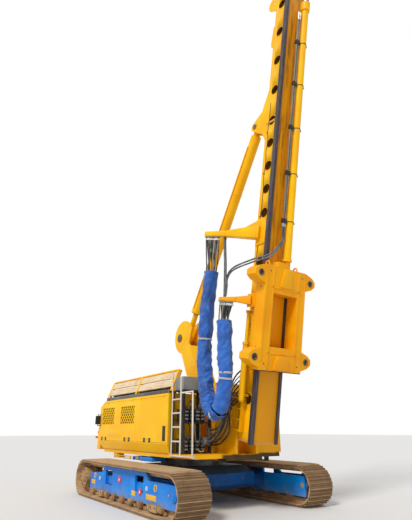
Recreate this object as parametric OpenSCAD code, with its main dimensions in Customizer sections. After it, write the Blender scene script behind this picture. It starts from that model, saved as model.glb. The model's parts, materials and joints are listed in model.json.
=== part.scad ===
// Tracked piling rig: a box leader with a tool sledge, held by one backstay cylinder.
// Millimetres, +Z up. The machine faces -Y, and its right side is -X.
// The origin is on the ground under the middle of the machine, and slew_y is where
// the turntable stands, so that the leaning leader and the counterweight reach as far.

/* [Tracks] */
// Length of a track over its lugs
track_l = 6040; // [5800:20:6400]
// Height of a track over its lugs
track_h = 950; // [900:10:1000]
// Distance between the middles of the tracks
gauge = 3660; // [3560:20:3900]
// Width of a shoe
shoe_w = 800; // [600:20:900]
// Number of shoes round one track
shoes = 49; // [44:1:56]
// Thickness of a shoe plate
shoe_t = 40; // [30:2:50]
// Height of the lugs on a shoe
lug_h = 30; // [20:2:40]
// Width of the chain under the shoes
chain_w = 220; // [180:10:260]
// Height of the chain under the shoes
chain_h = 110; // [90:5:130]
// Number of bottom rollers in a track
rollers = 9; // [7:1:10]
// Radius of a roller's tread
roller_r = 88; // [75:1:100]
// Radius of a roller's flange
roller_flange_r = 140; // [120:2:150]

/* [Undercarriage] */
// Thickness of the side plates of a track frame
frame_plate_t = 60; // [40:5:80]
// Distance from the track's middle to the outside of its frame
frame_half_w = 220; // [200:5:260]
// Height of the car body's top plate
car_top_z = 880; // [820:10:900]
// Radius of the slew ring
ring_r = 860; // [800:10:900]
// Height of the slew ring
ring_h = 160; // [120:10:180]

/* [Deck and housing] */
// Width over the housing
body_w = 3000; // [2800:20:3200]
// Thickness of the deck
deck_t = 140; // [120:10:180]
// Rear end of the housing, behind the turntable
body_rear_y = 3300; // [3200:20:3400]
// Front end of the housing's right bay
right_front_y = -1200; // [-1300:10:-1150]
// Front end of the housing's left bay, behind the cab
left_front_y = -200; // [-220:10:0]
// Front end of the housing's middle bay
mid_front_y = 1000; // [900:20:1200]
// Height of the housing's roof
roof_z = 2620; // [2560:10:2680]
// Thickness of the housing's walls
wall_t = 40; // [30:2:60]
// Running gap round doors and lids
door_gap = 6; // [5:0.5:10]
// Depth of the counterweight
weight_l = 620; // [500:20:700]

/* [Cab] */
// Width of the cab
cab_w = 900; // [860:10:920]
// Length of the cab
cab_l = 1760; // [1700:20:1780]
// Height of the cab
cab_h = 1700; // [1600:20:1800]
// Thickness of the cab's walls
cab_t = 50; // [40:2:60]

/* [Leader] */
// Forward lean of the leader as parked
lean = 11.3; // [10:0.1:12]
// Length of the leader's box
leader_l = 16500; // [16300:50:16800]
// Width over the guide rails
leader_w = 820; // [800:5:840]
// Depth of the leader, rails to back
leader_d = 550; // [530:5:600]
// Thickness of the leader's plates
plate_t = 25; // [20:1:30]
// Side of a guide rail
rail_w = 90; // [80:2:100]
// Depth of a guide rail
rail_d = 110; // [100:5:120]
// Radius of the access holes
hole_r = 135; // [110:5:150]

/* [Sledge] */
// Height of the sledge's foot up the leader as parked
sledge_s = 1650; // [1500:10:1700]
// Length of the sledge
sledge_l = 2430; // [2400:10:2500]
// Width over the sledge's beams
sledge_w = 1300; // [1260:10:1340]
// Spread of the pin eyes across the sledge
eye_x = 1600; // [1560:10:1640]
// Radius of the pin eyes' bores
eye_r = 55; // [45:1:65]

/* [Backstay] */
// Outer radius of the barrel
stay_r = 150; // [140:2:160]
// Radius of the rod
stay_rod_r = 80; // [70:2:90]
// Length of rod that shows as parked
stay_show = 900; // [880:10:1000]

/* [Feed cylinder] */
// Outer radius of the barrel
feed_r = 100; // [90:2:105]
// Radius of the rod
feed_rod_r = 45; // [40:1:50]
// Length of the barrel
feed_l = 7600; // [7400:20:7700]

/* [Ladder and rack] */
// Radius of the ladder's tubes
ladder_r = 20; // [16:1:24]
// Distance between rungs
rung_pitch = 315; // [280:5:330]
// Number of planks along the rack
rack_bays = 2; // [2:1:3]

/* [Hidden] */
$fn = 48;

// Gaps: a pin in its bore, a moving face beside a fixed one, and a bearing's faces
pin_gap = 0.5;
side_gap = 5;
bearing_gap = 0.5;

// Colours, as on the photographed machine
yellow = [0.96, 0.66, 0.04];
orange = [0.85, 0.47, 0.05];
blue = [0.03, 0.25, 0.62];
dark = [0.13, 0.13, 0.14];
mud = [0.55, 0.42, 0.28];
steel = [0.62, 0.63, 0.64];
white = [0.88, 0.87, 0.84];
wood = [0.75, 0.66, 0.48];
grey = [0.45, 0.47, 0.48];
cloth = [0.12, 0.25, 0.62];

// Heights that follow one another up the machine
ring_top_z = car_top_z + ring_h;
deck_z = ring_top_z + bearing_gap + 40;
deck_top = deck_z + deck_t;
half_body = body_w / 2;

// Where the leader's foot stands, in front of the turntable, and points on the leader
foot_y = -3030;
foot_z = 1430;
function on_leader(d, s) = [foot_y + d * cos(lean) - s * sin(lean),
    foot_z + d * sin(lean) + s * cos(lean)];

// Pins of the linkage: [depth behind the rails, height up the leader] and [y, z]
tilt_ds = [770, 885];
stay_ds = [1270, 8490];
tilt_pin = on_leader(tilt_ds[0], tilt_ds[1]);
stay_pin = on_leader(stay_ds[0], stay_ds[1]);
boom_pin = [350, 4400];
pin_r = 60;
stay_len = norm(stay_pin - boom_pin);
stay_angle = atan2(boom_pin[0] - stay_pin[0], stay_pin[1] - boom_pin[1]);

// The machine's reach to the front and to the rear sets where the turntable stands
head_top_s = leader_l + 640;
sheave_r = 250;
sheave_s = leader_l + 360;
sheave_d = [-160, leader_d + 130];
front_reach = on_leader(sheave_d[0], sheave_s)[0] - sheave_r;
rear_reach = body_rear_y + weight_l;
slew_y = -(front_reach + rear_reach) / 2;

module placed() {
    translate([0, slew_y, 0]) children();
}

module at_leader() {
    placed() translate([0, foot_y, foot_z]) rotate([lean, 0, 0]) children();
}

// A plate that stands in the YZ plane, from x0 to x1
module side_plate(x0, x1) {
    translate([x0, 0, 0]) rotate([90, 0, 90]) linear_extrude(x1 - x0) children();
}

// The same plate on both sides of the middle
module both_sides(x0, x1) {
    side_plate(x0, x1) children();
    side_plate(-x1, -x0) children();
}

// A round bar along X, centred on [y, z]
module bar_x(r, x0, x1, at = [0, 0]) {
    translate([x0, at[0], at[1]]) rotate([0, 90, 0]) cylinder(r = r, h = x1 - x0);
}

// A block from one corner to the other
module block(from, to) {
    translate(from) cube(to - from);
}

// Points along a smooth curve through a route, steps to each stretch
function along(a, b, c, d, t) = 0.5 * (2 * b + (c - a) * t
    + (2 * a - 5 * b + 4 * c - d) * t * t + (3 * b - a - 3 * c + d) * t * t * t);
function smooth(p, steps) = [for (i = [0 : len(p) - 2]) for (j = [0 : steps - 1])
    along(p[max(i - 1, 0)], p[i], p[i + 1], p[min(i + 2, len(p) - 1)], j / steps),
    p[len(p) - 1]];

// A tube of one radius round a curve that never runs along X
module tube(path, r, sides = 8) {
    n = len(path);
    rings = [for (i = [0 : n - 1])
        let (t = path[min(i + 1, n - 1)] - path[max(i - 1, 0)],
            tn = t / norm(t),
            v0 = cross(tn, [1, 0, 0]),
            v = v0 / norm(v0),
            u = cross(v, tn))
        [for (k = [0 : sides - 1])
            path[i] + r * (u * cos(360 * k / sides) + v * sin(360 * k / sides))]];
    points = [for (ring = rings) each ring];
    sideFaces = [for (i = [0 : n - 2]) for (k = [0 : sides - 1])
        [i * sides + k, (i + 1) * sides + k,
            (i + 1) * sides + (k + 1) % sides, i * sides + (k + 1) % sides]];
    polyhedron(points, concat([[for (k = [0 : sides - 1]) k]], sideFaces,
        [[for (k = [sides - 1 : -1 : 0]) (n - 1) * sides + k]]), convexity = 6);
}

// Track: the chain's path is a ring with two straight runs, shared out among the shoes
track_mid_z = track_h / 2;
path_r = track_mid_z - lug_h - shoe_t;
wheel_y = track_l / 2 - track_mid_z;
path_l = 4 * wheel_y + 2 * PI * path_r;
function on_track(u) = let (run = 2 * wheel_y, arc = PI * path_r, v = u % path_l)
    v < run ? [wheel_y - v, track_mid_z + path_r]
    : v < run + arc ? let (a = 90 + 180 * (v - run) / arc)
        [-wheel_y + path_r * cos(a), track_mid_z + path_r * sin(a)]
    : v < 2 * run + arc ? [-wheel_y + v - run - arc, track_mid_z - path_r]
    : let (a = -90 + 180 * (v - 2 * run - arc) / arc)
        [wheel_y + path_r * cos(a), track_mid_z + path_r * sin(a)];

// One shoe's outline: [share of its length, height above the chain]
lug_share = 0.035;
lug_places = [0.18, 0.5, 0.82];
shoe_outline = concat([[0, shoe_t * 0.4], [0.03, shoe_t]],
    [for (m = lug_places) each [[m - lug_share, shoe_t], [m, shoe_t + lug_h],
        [m + lug_share, shoe_t]]],
    [[0.97, shoe_t]]);

// Points round the loop, each shoe giving the points of one outline
function round_loop(outline) = [for (i = [0 : shoes - 1])
    let (a = on_track(i * path_l / shoes), b = on_track((i + 1) * path_l / shoes),
        run = b - a, out = [run[1], -run[0]] / norm(run))
    for (q = outline) a + q[0] * run + q[1] * out];

module stadium(r) {
    for (y = [-wheel_y, wheel_y]) translate([y, track_mid_z]) circle(r = r, $fn = 96);
    translate([-wheel_y, track_mid_z - r]) square([2 * wheel_y, 2 * r]);
}

module track(side) {
    placed() color(mud) {
        x0 = side * gauge / 2 - shoe_w / 2;
        side_plate(x0, x0 + shoe_w) difference() {
            polygon(round_loop(shoe_outline));
            polygon(round_loop([[0, 0]]));
        }
        x1 = side * gauge / 2 - chain_w / 2;
        side_plate(x1, x1 + chain_w) difference() {
            polygon(round_loop([[0, 0]]));
            stadium(path_r - chain_h);
        }
    }
}

module track_right() {
    track(-1);
}

module track_left() {
    track(1);
}

// Wheels fill the chain to within this running gap
chain_gap = 0.8;
wheel_r = path_r - chain_h - chain_gap;

// Side frame: a box with an outer plate that rises to a block with two openings
block_y = 1300;
block_rise_z = 840;
frame_top_z = 680;
frame_low_z = 220;
frame_rear_y = 2230;
opening_y = 900;
opening_w = 440;
opening_h = 340;
opening_z = 410;
roller_z = track_mid_z - path_r + chain_h + roller_r + chain_gap;
roller_axle_r = 25;
roller_span = 3900;
function roller_y(i) = -roller_span / 2 + i * roller_span / (rollers - 1) - 60;

module frame_outline() {
    polygon([[-wheel_y - 100, frame_low_z], [frame_rear_y, frame_low_z - 25],
        [frame_rear_y, frame_top_z - 60], [block_y + 70, frame_top_z],
        [block_y - 30, block_rise_z], [-block_y + 90, block_rise_z],
        [-block_y - 90, frame_top_z], [-wheel_y - 100, frame_top_z]]);
}

module roller_bores() {
    for (i = [0 : rollers - 1])
        translate([roller_y(i), roller_z]) circle(r = roller_axle_r + 0.3);
}

module track_frame(side) {
    mid = side * gauge / 2;
    outer = mid + side * frame_half_w;
    inner = mid - side * frame_half_w;
    placed() color(blue) {
        side_plate(min(outer, outer - side * frame_plate_t),
            max(outer, outer - side * frame_plate_t)) difference() {
            frame_outline();
            for (y = [-opening_y, opening_y])
                translate([y - opening_w / 2, opening_z]) square([opening_w, opening_h]);
            translate([-wheel_y, track_mid_z]) circle(r = 60);
            roller_bores();
        }
        side_plate(min(inner, inner + side * frame_plate_t),
            max(inner, inner + side * frame_plate_t)) difference() {
            polygon([[-wheel_y - 100, frame_low_z], [wheel_y + 160, frame_low_z + 60],
                [wheel_y + 160, frame_top_z - 60], [block_y, frame_top_z],
                [-wheel_y - 100, frame_top_z]]);
            translate([-wheel_y, track_mid_z]) circle(r = 60);
            roller_bores();
        }
        block([mid - frame_half_w + frame_plate_t, -wheel_y + wheel_r + 30,
            roller_z + roller_flange_r + 10],
            [mid + frame_half_w - frame_plate_t, frame_rear_y - 200, frame_top_z - 80]);
    }
}

module track_frame_right() {
    track_frame(-1);
}

module track_frame_left() {
    track_frame(1);
}

// Sprocket with its teeth between the chain's links, and the drive's round housing
teeth = 20;
// One tooth: [share of the pitch from its middle, height below the tip]
tooth = [[-0.2, 20], [-0.1, 0], [0.1, 0], [0.2, 20]];
drive_r = 255;
drive_out = 300;
module sprocket_outline() {
    polygon([for (i = [0 : teeth - 1]) for (q = tooth)
        (wheel_r - q[1]) * [cos(360 * (i + q[0]) / teeth), sin(360 * (i + q[0]) / teeth)]]);
}

module drive_sprockets() {
    placed() color(steel) for (side = [-1, 1]) {
        mid = side * gauge / 2;
        at = [wheel_y, track_mid_z];
        side_plate(mid - 40, mid + 40) translate(at) sprocket_outline();
        near = mid - side * (frame_half_w - frame_plate_t);
        far = mid + side * drive_out;
        bar_x(drive_r, min(near, far), max(near, far), at);
        bar_x(120, min(far, far + side * 20), max(far, far + side * 20), at);
    }
}

module front_idlers() {
    placed() color(mud) for (side = [-1, 1]) {
        mid = side * gauge / 2;
        at = [-wheel_y, track_mid_z];
        difference() {
            bar_x(wheel_r, mid - 50, mid + 50, at);
            for (face = [-1, 1])
                bar_x(wheel_r - 45, mid + min(face * 24, face * 50),
                    mid + max(face * 24, face * 50), at);
        }
        bar_x(59.7, mid - frame_half_w, mid + frame_half_w, at);
        bar_x(110, mid - frame_half_w + frame_plate_t, mid + frame_half_w - frame_plate_t, at);
    }
}

module bottom_rollers() {
    placed() color(mud) for (side = [-1, 1]) for (i = [0 : rollers - 1]) {
        mid = side * gauge / 2;
        at = [roller_y(i), roller_z];
        bar_x(roller_r, mid - chain_w / 2 - 2, mid + chain_w / 2 + 2, at);
        for (face = [-1, 1])
            bar_x(roller_flange_r, mid + face * (chain_w / 2 + 17) - 15,
                mid + face * (chain_w / 2 + 17) + 15, at);
        bar_x(roller_axle_r, mid - frame_half_w, mid + frame_half_w, at);
    }
}

// Car body: a belly box, two cross beams out to the track frames, and the ring's seat
belly_w = 2000;
belly_l = 2900;
belly_z = 350;
beam_y = 900;
beam_l = 460;
beam_z0 = 380;
beam_z1 = 640;
module car_body() {
    reach = gauge / 2 - frame_half_w;
    placed() color(blue) {
        side_plate(-belly_w / 2, belly_w / 2)
            polygon([[-belly_l / 2, belly_z + 120], [-belly_l / 2 + 260, belly_z],
                [belly_l / 2 - 260, belly_z], [belly_l / 2, belly_z + 120],
                [belly_l / 2, car_top_z - 150], [belly_l / 2 - 420, car_top_z],
                [-belly_l / 2 + 420, car_top_z], [-belly_l / 2, car_top_z - 150]]);
        for (y = [-beam_y, beam_y])
            block([-reach, y - beam_l / 2, beam_z0], [reach, y + beam_l / 2, beam_z1]);
        for (y = [-beam_y, beam_y]) for (side = [-1, 1])
            block([side * 1180 - 30, y - beam_l / 2 - 40, beam_z0 - 30],
                [side * 1180 + 30, y + beam_l / 2 + 40, beam_z1 + 30]);
    }
}

race_r = 700;
module slew_ring() {
    placed() color(dark) difference() {
        translate([0, 0, car_top_z]) cylinder(r = ring_r, h = ring_h, $fn = 96);
        translate([0, 0, car_top_z + ring_h - 90]) cylinder(r = race_r, h = 91, $fn = 96);
    }
}

// Deck: the turntable's plate, a middle box, and wings under the housing and the cab
mid_deck_w = 1120;
deck_front_y = -2350;
wing_in = 100;
module deck_frame() {
    wing = half_body - wing_in;
    placed() color(yellow) {
        translate([0, 0, ring_top_z - 80]) cylinder(r = race_r - bearing_gap, h = 80, $fn = 96);
        translate([0, 0, ring_top_z + bearing_gap - 1])
            cylinder(r = race_r - bearing_gap, h = 1, $fn = 96);
        translate([0, 0, ring_top_z + bearing_gap]) cylinder(r = ring_r, h = 40, $fn = 96);
        block([-mid_deck_w / 2, deck_front_y + 50, deck_z],
            [mid_deck_w / 2, body_rear_y, deck_top]);
        block([-wing, right_front_y + 40, deck_z + 40],
            [-mid_deck_w / 2, body_rear_y - 320, deck_top]);
        block([-wing - 50, deck_front_y, deck_z + 60],
            [-mid_deck_w / 2, right_front_y + 40, deck_top]);
        block([mid_deck_w / 2, -2020, deck_z + 40], [wing, body_rear_y - 320, deck_top]);
    }
}

// Nose: two cheeks that carry the leader's tilt pin, tied by a cross box
nose_x0 = 275;
nose_x1 = 355;
boss_r = 165;
nose_root_y = -1120;
module nose_outline() {
    front_low = on_leader(tilt_ds[0] - boss_r, -160);
    front_up = on_leader(tilt_ds[0] - boss_r, tilt_ds[1]);
    back_up = on_leader(tilt_ds[0] + boss_r * 0.7, tilt_ds[1] + boss_r * 0.7);
    translate(tilt_pin) circle(r = boss_r);
    polygon([[nose_root_y, deck_top], [front_low[0], deck_top], front_low, front_up,
        tilt_pin, back_up, [nose_root_y - 300, deck_top + 480],
        [nose_root_y, deck_top + 200]]);
}

module nose_frame() {
    placed() color(yellow) {
        both_sides(nose_x0, nose_x1) nose_outline();
        block([-nose_x0, -1900, deck_top], [nose_x0, -1700, deck_top + 420]);
        bar_x(pin_r, -nose_x1 - 25, nose_x1 + 25, tilt_pin);
        for (side = [-1, 1])
            bar_x(pin_r + 30, side * (nose_x1 + 10) - 10, side * (nose_x1 + 10) + 10, tilt_pin);
    }
}

// Boom: a leaning box whose round head holds the backstay's lower pin
head_mid = [150, 4400];
head_r = 500;
head_wall = 40;
cheek_x0 = 235;
cheek_x1 = 275;
flat_angle = 20.5;
flat_reach = 360;
mouth_angles = [54, 100, 150, 200, 245];
module at_head() {
    translate(head_mid) children();
}

module boom_outline() {
    polygon([[-1680, deck_top], [-1040, deck_top], [260, 3930], [-180, 4160]]);
}

// Cheeks are round discs with a flat front; the shell between them leaves it open
module cheek_outline() {
    difference() {
        union() {
            at_head() intersection() {
                circle(r = head_r);
                rotate([0, 0, flat_angle]) translate([-flat_reach, -head_r])
                    square([flat_reach + head_r, 2 * head_r]);
            }
            boom_outline();
        }
        translate(boom_pin) circle(r = pin_r);
    }
}

module shell_outline() {
    difference() {
        union() {
            at_head() difference() {
                circle(r = head_r);
                polygon(concat([[0, 0]], [for (a = mouth_angles) 2 * head_r * [cos(a), sin(a)]]));
            }
            boom_outline();
        }
        at_head() circle(r = head_r - head_wall);
    }
}

module stay_boom() {
    placed() color(yellow) {
        side_plate(-cheek_x0, cheek_x0) shell_outline();
        both_sides(cheek_x0, cheek_x1) cheek_outline();
        bar_x(pin_r, -cheek_x1 - 25, cheek_x1 + 25, boom_pin);
        for (side = [-1, 1])
            bar_x(pin_r + 35, side * (cheek_x1 + 12) - 12, side * (cheek_x1 + 12) + 12, boom_pin);
    }
}

// Housing: three bays round the boom's channel, one side profile, open where lids lie
bay_x = 500;
chamfer_l = 350;
chamfer_z = 170;
skirt_z = 1430;
skirt_in = 90;
lid_low = skirt_z + 20;
lid_top = roof_z - 60;
lid_split = 630;
module body_profile(front, inset = 0) {
    polygon([[front + inset, deck_top - 60 + inset], [body_rear_y - 550, deck_top - 60 + inset],
        [body_rear_y - 300, deck_top + inset], [body_rear_y - inset, skirt_z + inset / 2],
        [body_rear_y - inset, roof_z - chamfer_z - inset / 2],
        [body_rear_y - chamfer_l, roof_z - inset], [front + inset, roof_z - inset]]);
}

// A lid's outline: [front, rear, chamfer of the rear top corner]
lids = [[right_front_y + 50, lid_split - 20, 0], [lid_split + 20, body_rear_y - 60, 1]];
left_lid = [left_front_y + 60, body_rear_y - 60, 1];
module lid_outline(lid, gap) {
    cut = lid[2];
    polygon([[lid[0] + gap, lid_low + gap], [lid[1] - gap, lid_low + gap],
        [lid[1] - gap, lid_top - gap - cut * chamfer_z * 0.75],
        [lid[1] - gap - cut * (chamfer_l - 60), lid_top - gap], [lid[0] + gap, lid_top - gap]]);
}

module bay(x0, x1, front) {
    difference() {
        side_plate(x0, x1) body_profile(front);
        side_plate(x0 + wall_t, x1 - wall_t) body_profile(front, wall_t);
        side_plate(x0 - 1, x1 + 1) translate([front - 100, deck_top - 200])
            square([body_rear_y - 300 - front + 100, 200]);
    }
}

// A solid sill under each outer wall, whose outside the skirt's slope cuts
sill_t = 110;
module sill(x0, front) {
    side_plate(x0, x0 + sill_t) intersection() {
        body_profile(front);
        translate([front, deck_top]) square([2 * body_rear_y, skirt_z - deck_top]);
    }
}

module engine_housing() {
    placed() color(yellow) for (y = concat(right_lid_hinges[0], right_lid_hinges[1]))
        wall_hinge(-1, y);
    placed() color(yellow) for (y = left_lid_hinges) wall_hinge(1, y);
    placed() color(yellow) difference() {
        union() {
            bay(-half_body, -bay_x, right_front_y);
            bay(bay_x, half_body, left_front_y);
            bay(-bay_x, bay_x, mid_front_y);
            sill(-half_body, right_front_y);
            sill(half_body - sill_t, left_front_y);
        }
        side_plate(-half_body - 1, -half_body + wall_t + 1)
            for (lid = lids) lid_outline(lid, 0);
        side_plate(half_body - wall_t - 1, half_body + 1) lid_outline(left_lid, 0);
        for (side = [-1, 1]) translate([side * half_body, 0, 0]) rotate([90, 0, 0])
            linear_extrude(2 * body_rear_y + 400, center = true)
                polygon([[side * 10, skirt_z], [side * 10, deck_top - 300],
                    [-side * skirt_in, deck_top - 300], [-side * skirt_in, deck_top - 60],
                    [0, skirt_z]]);
    }
}

// Lids hang from hinges along their top edge, and the rear one has two grilles
lid_t = 40;
grilles = [[740, 1670], [2160, 3090]];
grille_z = [1920, 2400];
mesh_pitch = 140;
mesh_bar = 18;
module grille_mesh(y0, y1) {
    side_plate(-half_body + 10, -half_body + 22) intersection() {
        translate([y0, grille_z[0]]) square([y1 - y0, grille_z[1] - grille_z[0]]);
        for (slope = [-45, 45]) for (i = [-8 : 8])
            translate([(y0 + y1) / 2 + i * mesh_pitch, (grille_z[0] + grille_z[1]) / 2])
                rotate(slope) square([mesh_bar, 1200], center = true);
    }
}

// Hinges: knuckles outside the wall, those of the lid between those of the housing
knuckle_r = 11;
knuckle_l = 40;
hinge_out = 13;
pin_small_r = 5;
right_lid_hinges = [[-950, 350], [900, 2700]];
left_lid_hinges = [100, 1300, 2500];

module knuckle(x, y, r, l) {
    translate([x, y, lid_top]) rotate([90, 0, 0]) cylinder(r = r, h = l, center = true);
}

// The wall's part of a hinge on side -1 or 1, and below it the lid's
module wall_hinge(side, y) {
    x = side * (half_body + hinge_out);
    for (turn = [-1, 1]) {
        knuckle(x, y + turn * (knuckle_l + 1), knuckle_r, knuckle_l);
        translate([min(x, side * half_body), y + turn * (knuckle_l + 1) - knuckle_l / 2, lid_top + 2])
            cube([hinge_out, knuckle_l, 26]);
    }
    knuckle(x, y, pin_small_r, 3 * knuckle_l);
}

module lid_hinge(side, y) {
    x = side * (half_body + hinge_out);
    difference() {
        union() {
            knuckle(x, y, knuckle_r, knuckle_l);
            translate([min(x, side * half_body), y - knuckle_l / 2, lid_top - 40])
                cube([hinge_out, knuckle_l, 38]);
        }
        knuckle(x, y, pin_small_r + pin_gap, knuckle_l + 2);
    }
}

module lid_right_rear() {
    placed() color(yellow) {
        difference() {
            side_plate(-half_body, -half_body + lid_t) lid_outline(lids[1], door_gap);
            for (g = grilles) side_plate(-half_body - 1, -half_body + lid_t + 1)
                translate([g[0], grille_z[0]]) square([g[1] - g[0], grille_z[1] - grille_z[0]]);
            for (y = [1150, 2860]) side_plate(-half_body - 1, -half_body + 15)
                translate([y - 50, 1468]) square([100, 60]);
        }
        for (g = grilles) grille_mesh(g[0], g[1]);
        for (y = right_lid_hinges[1]) lid_hinge(-1, y);
    }
}

module lid_right_front() {
    placed() color(yellow) {
        difference() {
            side_plate(-half_body, -half_body + lid_t) lid_outline(lids[0], door_gap);
            side_plate(-half_body - 1, -half_body + 20)
                translate([-1080, 1490]) square([150, 360]);
            side_plate(-half_body - 1, -half_body + 15)
                translate([-150, 1475]) square([100, 60]);
        }
        for (y = right_lid_hinges[0]) lid_hinge(-1, y);
    }
}

module lid_left() {
    placed() color(yellow) {
        difference() {
            side_plate(half_body - lid_t, half_body) lid_outline(left_lid, door_gap);
            for (y = [200, 1500, 2860]) side_plate(half_body - 15, half_body + 1)
                translate([y - 50, 1468]) square([100, 60]);
        }
        for (y = left_lid_hinges) lid_hinge(1, y);
    }
}

// The engine and the coolers stand on the deck, short of the housing's rear slope
engine_rear_y = body_rear_y - 500;
module engine_block() {
    placed() color(grey) block([-bay_x + 90, 1300, deck_top],
        [bay_x - 90, engine_rear_y, deck_top + 900]);
}

module cooler_pack() {
    placed() color(dark) block([-1240, 700, deck_top], [-700, engine_rear_y, 2450]);
}

module counterweight() {
    placed() color(yellow) translate([0, 0, deck_top - 40]) linear_extrude(1020)
        polygon([[-1420, body_rear_y], [1420, body_rear_y], [1420, body_rear_y + 260],
            [1060, body_rear_y + weight_l], [-1060, body_rear_y + weight_l],
            [-1420, body_rear_y + 260]]);
}

// Cab: a hollow shell with a front, side and roof windows, and a door on its left
cab_x0 = 570;
cab_y0 = -2010;
cab_z0 = deck_top;
sill_h = 620;
door_y0 = cab_y0 + 430;
door_w = 860;
door_h = cab_h - 190;
pane_t = 8;
module cab_body(inset) {
    side_plate(cab_x0 + inset, cab_x0 + cab_w - inset)
        polygon([[cab_y0 + inset, cab_z0 + inset], [cab_y0 + cab_l - inset, cab_z0 + inset],
            [cab_y0 + cab_l - inset, cab_z0 + cab_h - inset],
            [cab_y0 + 260 + inset * 0.4, cab_z0 + cab_h - inset],
            [cab_y0 + inset, cab_z0 + cab_h - 480 - inset * 0.2]]);
}

module door_outline(gap) {
    translate([door_y0 + gap, cab_z0 + 70 + gap]) square([door_w - 2 * gap, door_h - 2 * gap]);
}

// The door hangs from two hinges at its rear edge
door_hinge_x = cab_x0 + cab_w + hinge_out;
door_hinge_y = door_y0 + door_w;
door_hinge_z = [cab_z0 + 330, cab_z0 + 1300];
module upright_knuckle(z, r, l) {
    translate([door_hinge_x, door_hinge_y, z]) cylinder(r = r, h = l, center = true);
}

module cab_shell() {
    top = cab_z0 + cab_h;
    placed() color(yellow) for (z = door_hinge_z) {
        for (turn = [-1, 1]) {
            upright_knuckle(z + turn * (knuckle_l + 1), knuckle_r, knuckle_l);
            translate([door_hinge_x - hinge_out, door_hinge_y + 2,
                z + turn * (knuckle_l + 1) - knuckle_l / 2]) cube([hinge_out, 26, knuckle_l]);
        }
        upright_knuckle(z, pin_small_r, 3 * knuckle_l);
    }
    placed() color(yellow) difference() {
        cab_body(0);
        cab_body(cab_t);
        block([cab_x0 + 70, cab_y0 - 1, cab_z0 + sill_h],
            [cab_x0 + cab_w - 70, cab_y0 + cab_t + 1, top - 560]);
        side_plate(cab_x0 - 1, cab_x0 + cab_t + 1)
            translate([cab_y0 + 480, cab_z0 + sill_h]) square([1080, 860]);
        block([cab_x0 + 90, cab_y0 + cab_l - cab_t - 1, cab_z0 + sill_h + 100],
            [cab_x0 + cab_w - 90, cab_y0 + cab_l + 1, top - 220]);
        side_plate(cab_x0 + cab_w - cab_t - 1, cab_x0 + cab_w + 1) door_outline(0);
    }
}

module cab_door() {
    placed() color(yellow) {
        difference() {
            side_plate(cab_x0 + cab_w - cab_t + 5, cab_x0 + cab_w) door_outline(door_gap);
            side_plate(cab_x0 + cab_w - cab_t, cab_x0 + cab_w + 1)
                translate([door_y0 + 80, cab_z0 + sill_h]) square([door_w - 160, door_h - sill_h]);
        }
        for (z = door_hinge_z) difference() {
            union() {
                upright_knuckle(z, knuckle_r, knuckle_l);
                translate([door_hinge_x - hinge_out, door_hinge_y - 40, z - knuckle_l / 2])
                    cube([hinge_out, 38, knuckle_l]);
            }
            upright_knuckle(z, pin_small_r + pin_gap, knuckle_l + 2);
        }
    }
}

module cab_glass() {
    top = cab_z0 + cab_h;
    placed() color([0.3, 0.4, 0.45, 0.5]) {
        block([cab_x0 + 70, cab_y0 + 20, cab_z0 + sill_h],
            [cab_x0 + cab_w - 70, cab_y0 + 20 + pane_t, top - 560]);
        side_plate(cab_x0 + 20, cab_x0 + 20 + pane_t)
            translate([cab_y0 + 480, cab_z0 + sill_h]) square([1080, 860]);
        block([cab_x0 + 90, cab_y0 + cab_l - 30, cab_z0 + sill_h + 100],
            [cab_x0 + cab_w - 90, cab_y0 + cab_l - 30 + pane_t, top - 220]);
    }
}

module cab_seat() {
    mid = cab_x0 + cab_w / 2;
    placed() color(dark) {
        block([mid - 180, -1230, cab_z0 + cab_t], [mid + 180, -860, cab_z0 + 330]);
        block([mid - 250, -1330, cab_z0 + 330], [mid + 250, -800, cab_z0 + 460]);
        block([mid - 240, -800, cab_z0 + 330], [mid + 240, -680, cab_z0 + 1050]);
    }
}

// Ladder on the right side: two uprights, rungs, and a guard loop round the valve bay
ladder_x = -half_body;
ladder_y = [-1400, -1800];
ladder_low = deck_z + 80;
ladder_tops = [3120, 2950];
loop_y = -2330;
loop_top = 2600;
module rod_z(at, z0, z1) {
    translate([at[0], at[1], z0]) cylinder(r = ladder_r, h = z1 - z0, $fn = 24);
}

module rod_y(x, z, y0, y1) {
    translate([x, y0, z]) rotate([-90, 0, 0]) cylinder(r = ladder_r, h = y1 - y0, $fn = 24);
}

module ladder() {
    placed() color(white) {
        for (i = [0, 1]) rod_z([ladder_x, ladder_y[i]], ladder_low, ladder_tops[i]);
        for (i = [0 : 4]) rod_y(ladder_x, ladder_low + 20 + i * rung_pitch,
            ladder_y[1], ladder_y[0]);
        rod_z([ladder_x, loop_y], ladder_low, loop_top);
        rod_y(ladder_x, ladder_low + 20, loop_y, ladder_y[1]);
        rod_y(ladder_x, loop_top - 20, loop_y, ladder_y[1]);
        for (y = [ladder_y[0], ladder_y[1], loop_y])
            block([ladder_x, y - 25, deck_top - 70],
                [-half_body + wing_in - 50, y + 25, deck_top - 10]);
    }
}

// Rack along the right roof edge: leaning posts that hold two rows of planks
rack_x = -1330;
rack_y = [-1050, 3180];
rack_lean = 22;
rack_h = 640;
post_w = 70;
plank_h = 190;
plank_t = 40;
module at_rack() {
    placed() translate([rack_x, 0, roof_z]) rotate([0, rack_lean, 0]) children();
}

function post_y(i) = rack_y[0] + i * (rack_y[1] - rack_y[0]) / rack_bays;

module plank_rack() {
    color(yellow) intersection() {
        at_rack() {
            for (i = [0 : rack_bays])
                translate([0, post_y(i) - post_w / 2, -60]) cube([50, post_w, rack_h + 60]);
            translate([0, rack_y[0] - post_w / 2, rack_h])
                cube([50, rack_y[1] - rack_y[0] + post_w, 30]);
        }
        placed() block([-half_body, -2000, roof_z], [0, 4000, roof_z + 900]);
    }
    placed() color(grey) block([rack_x - 60, rack_y[0] + 60, roof_z],
        [rack_x - 20, rack_y[1] - 60, roof_z + 110]);
}

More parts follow.
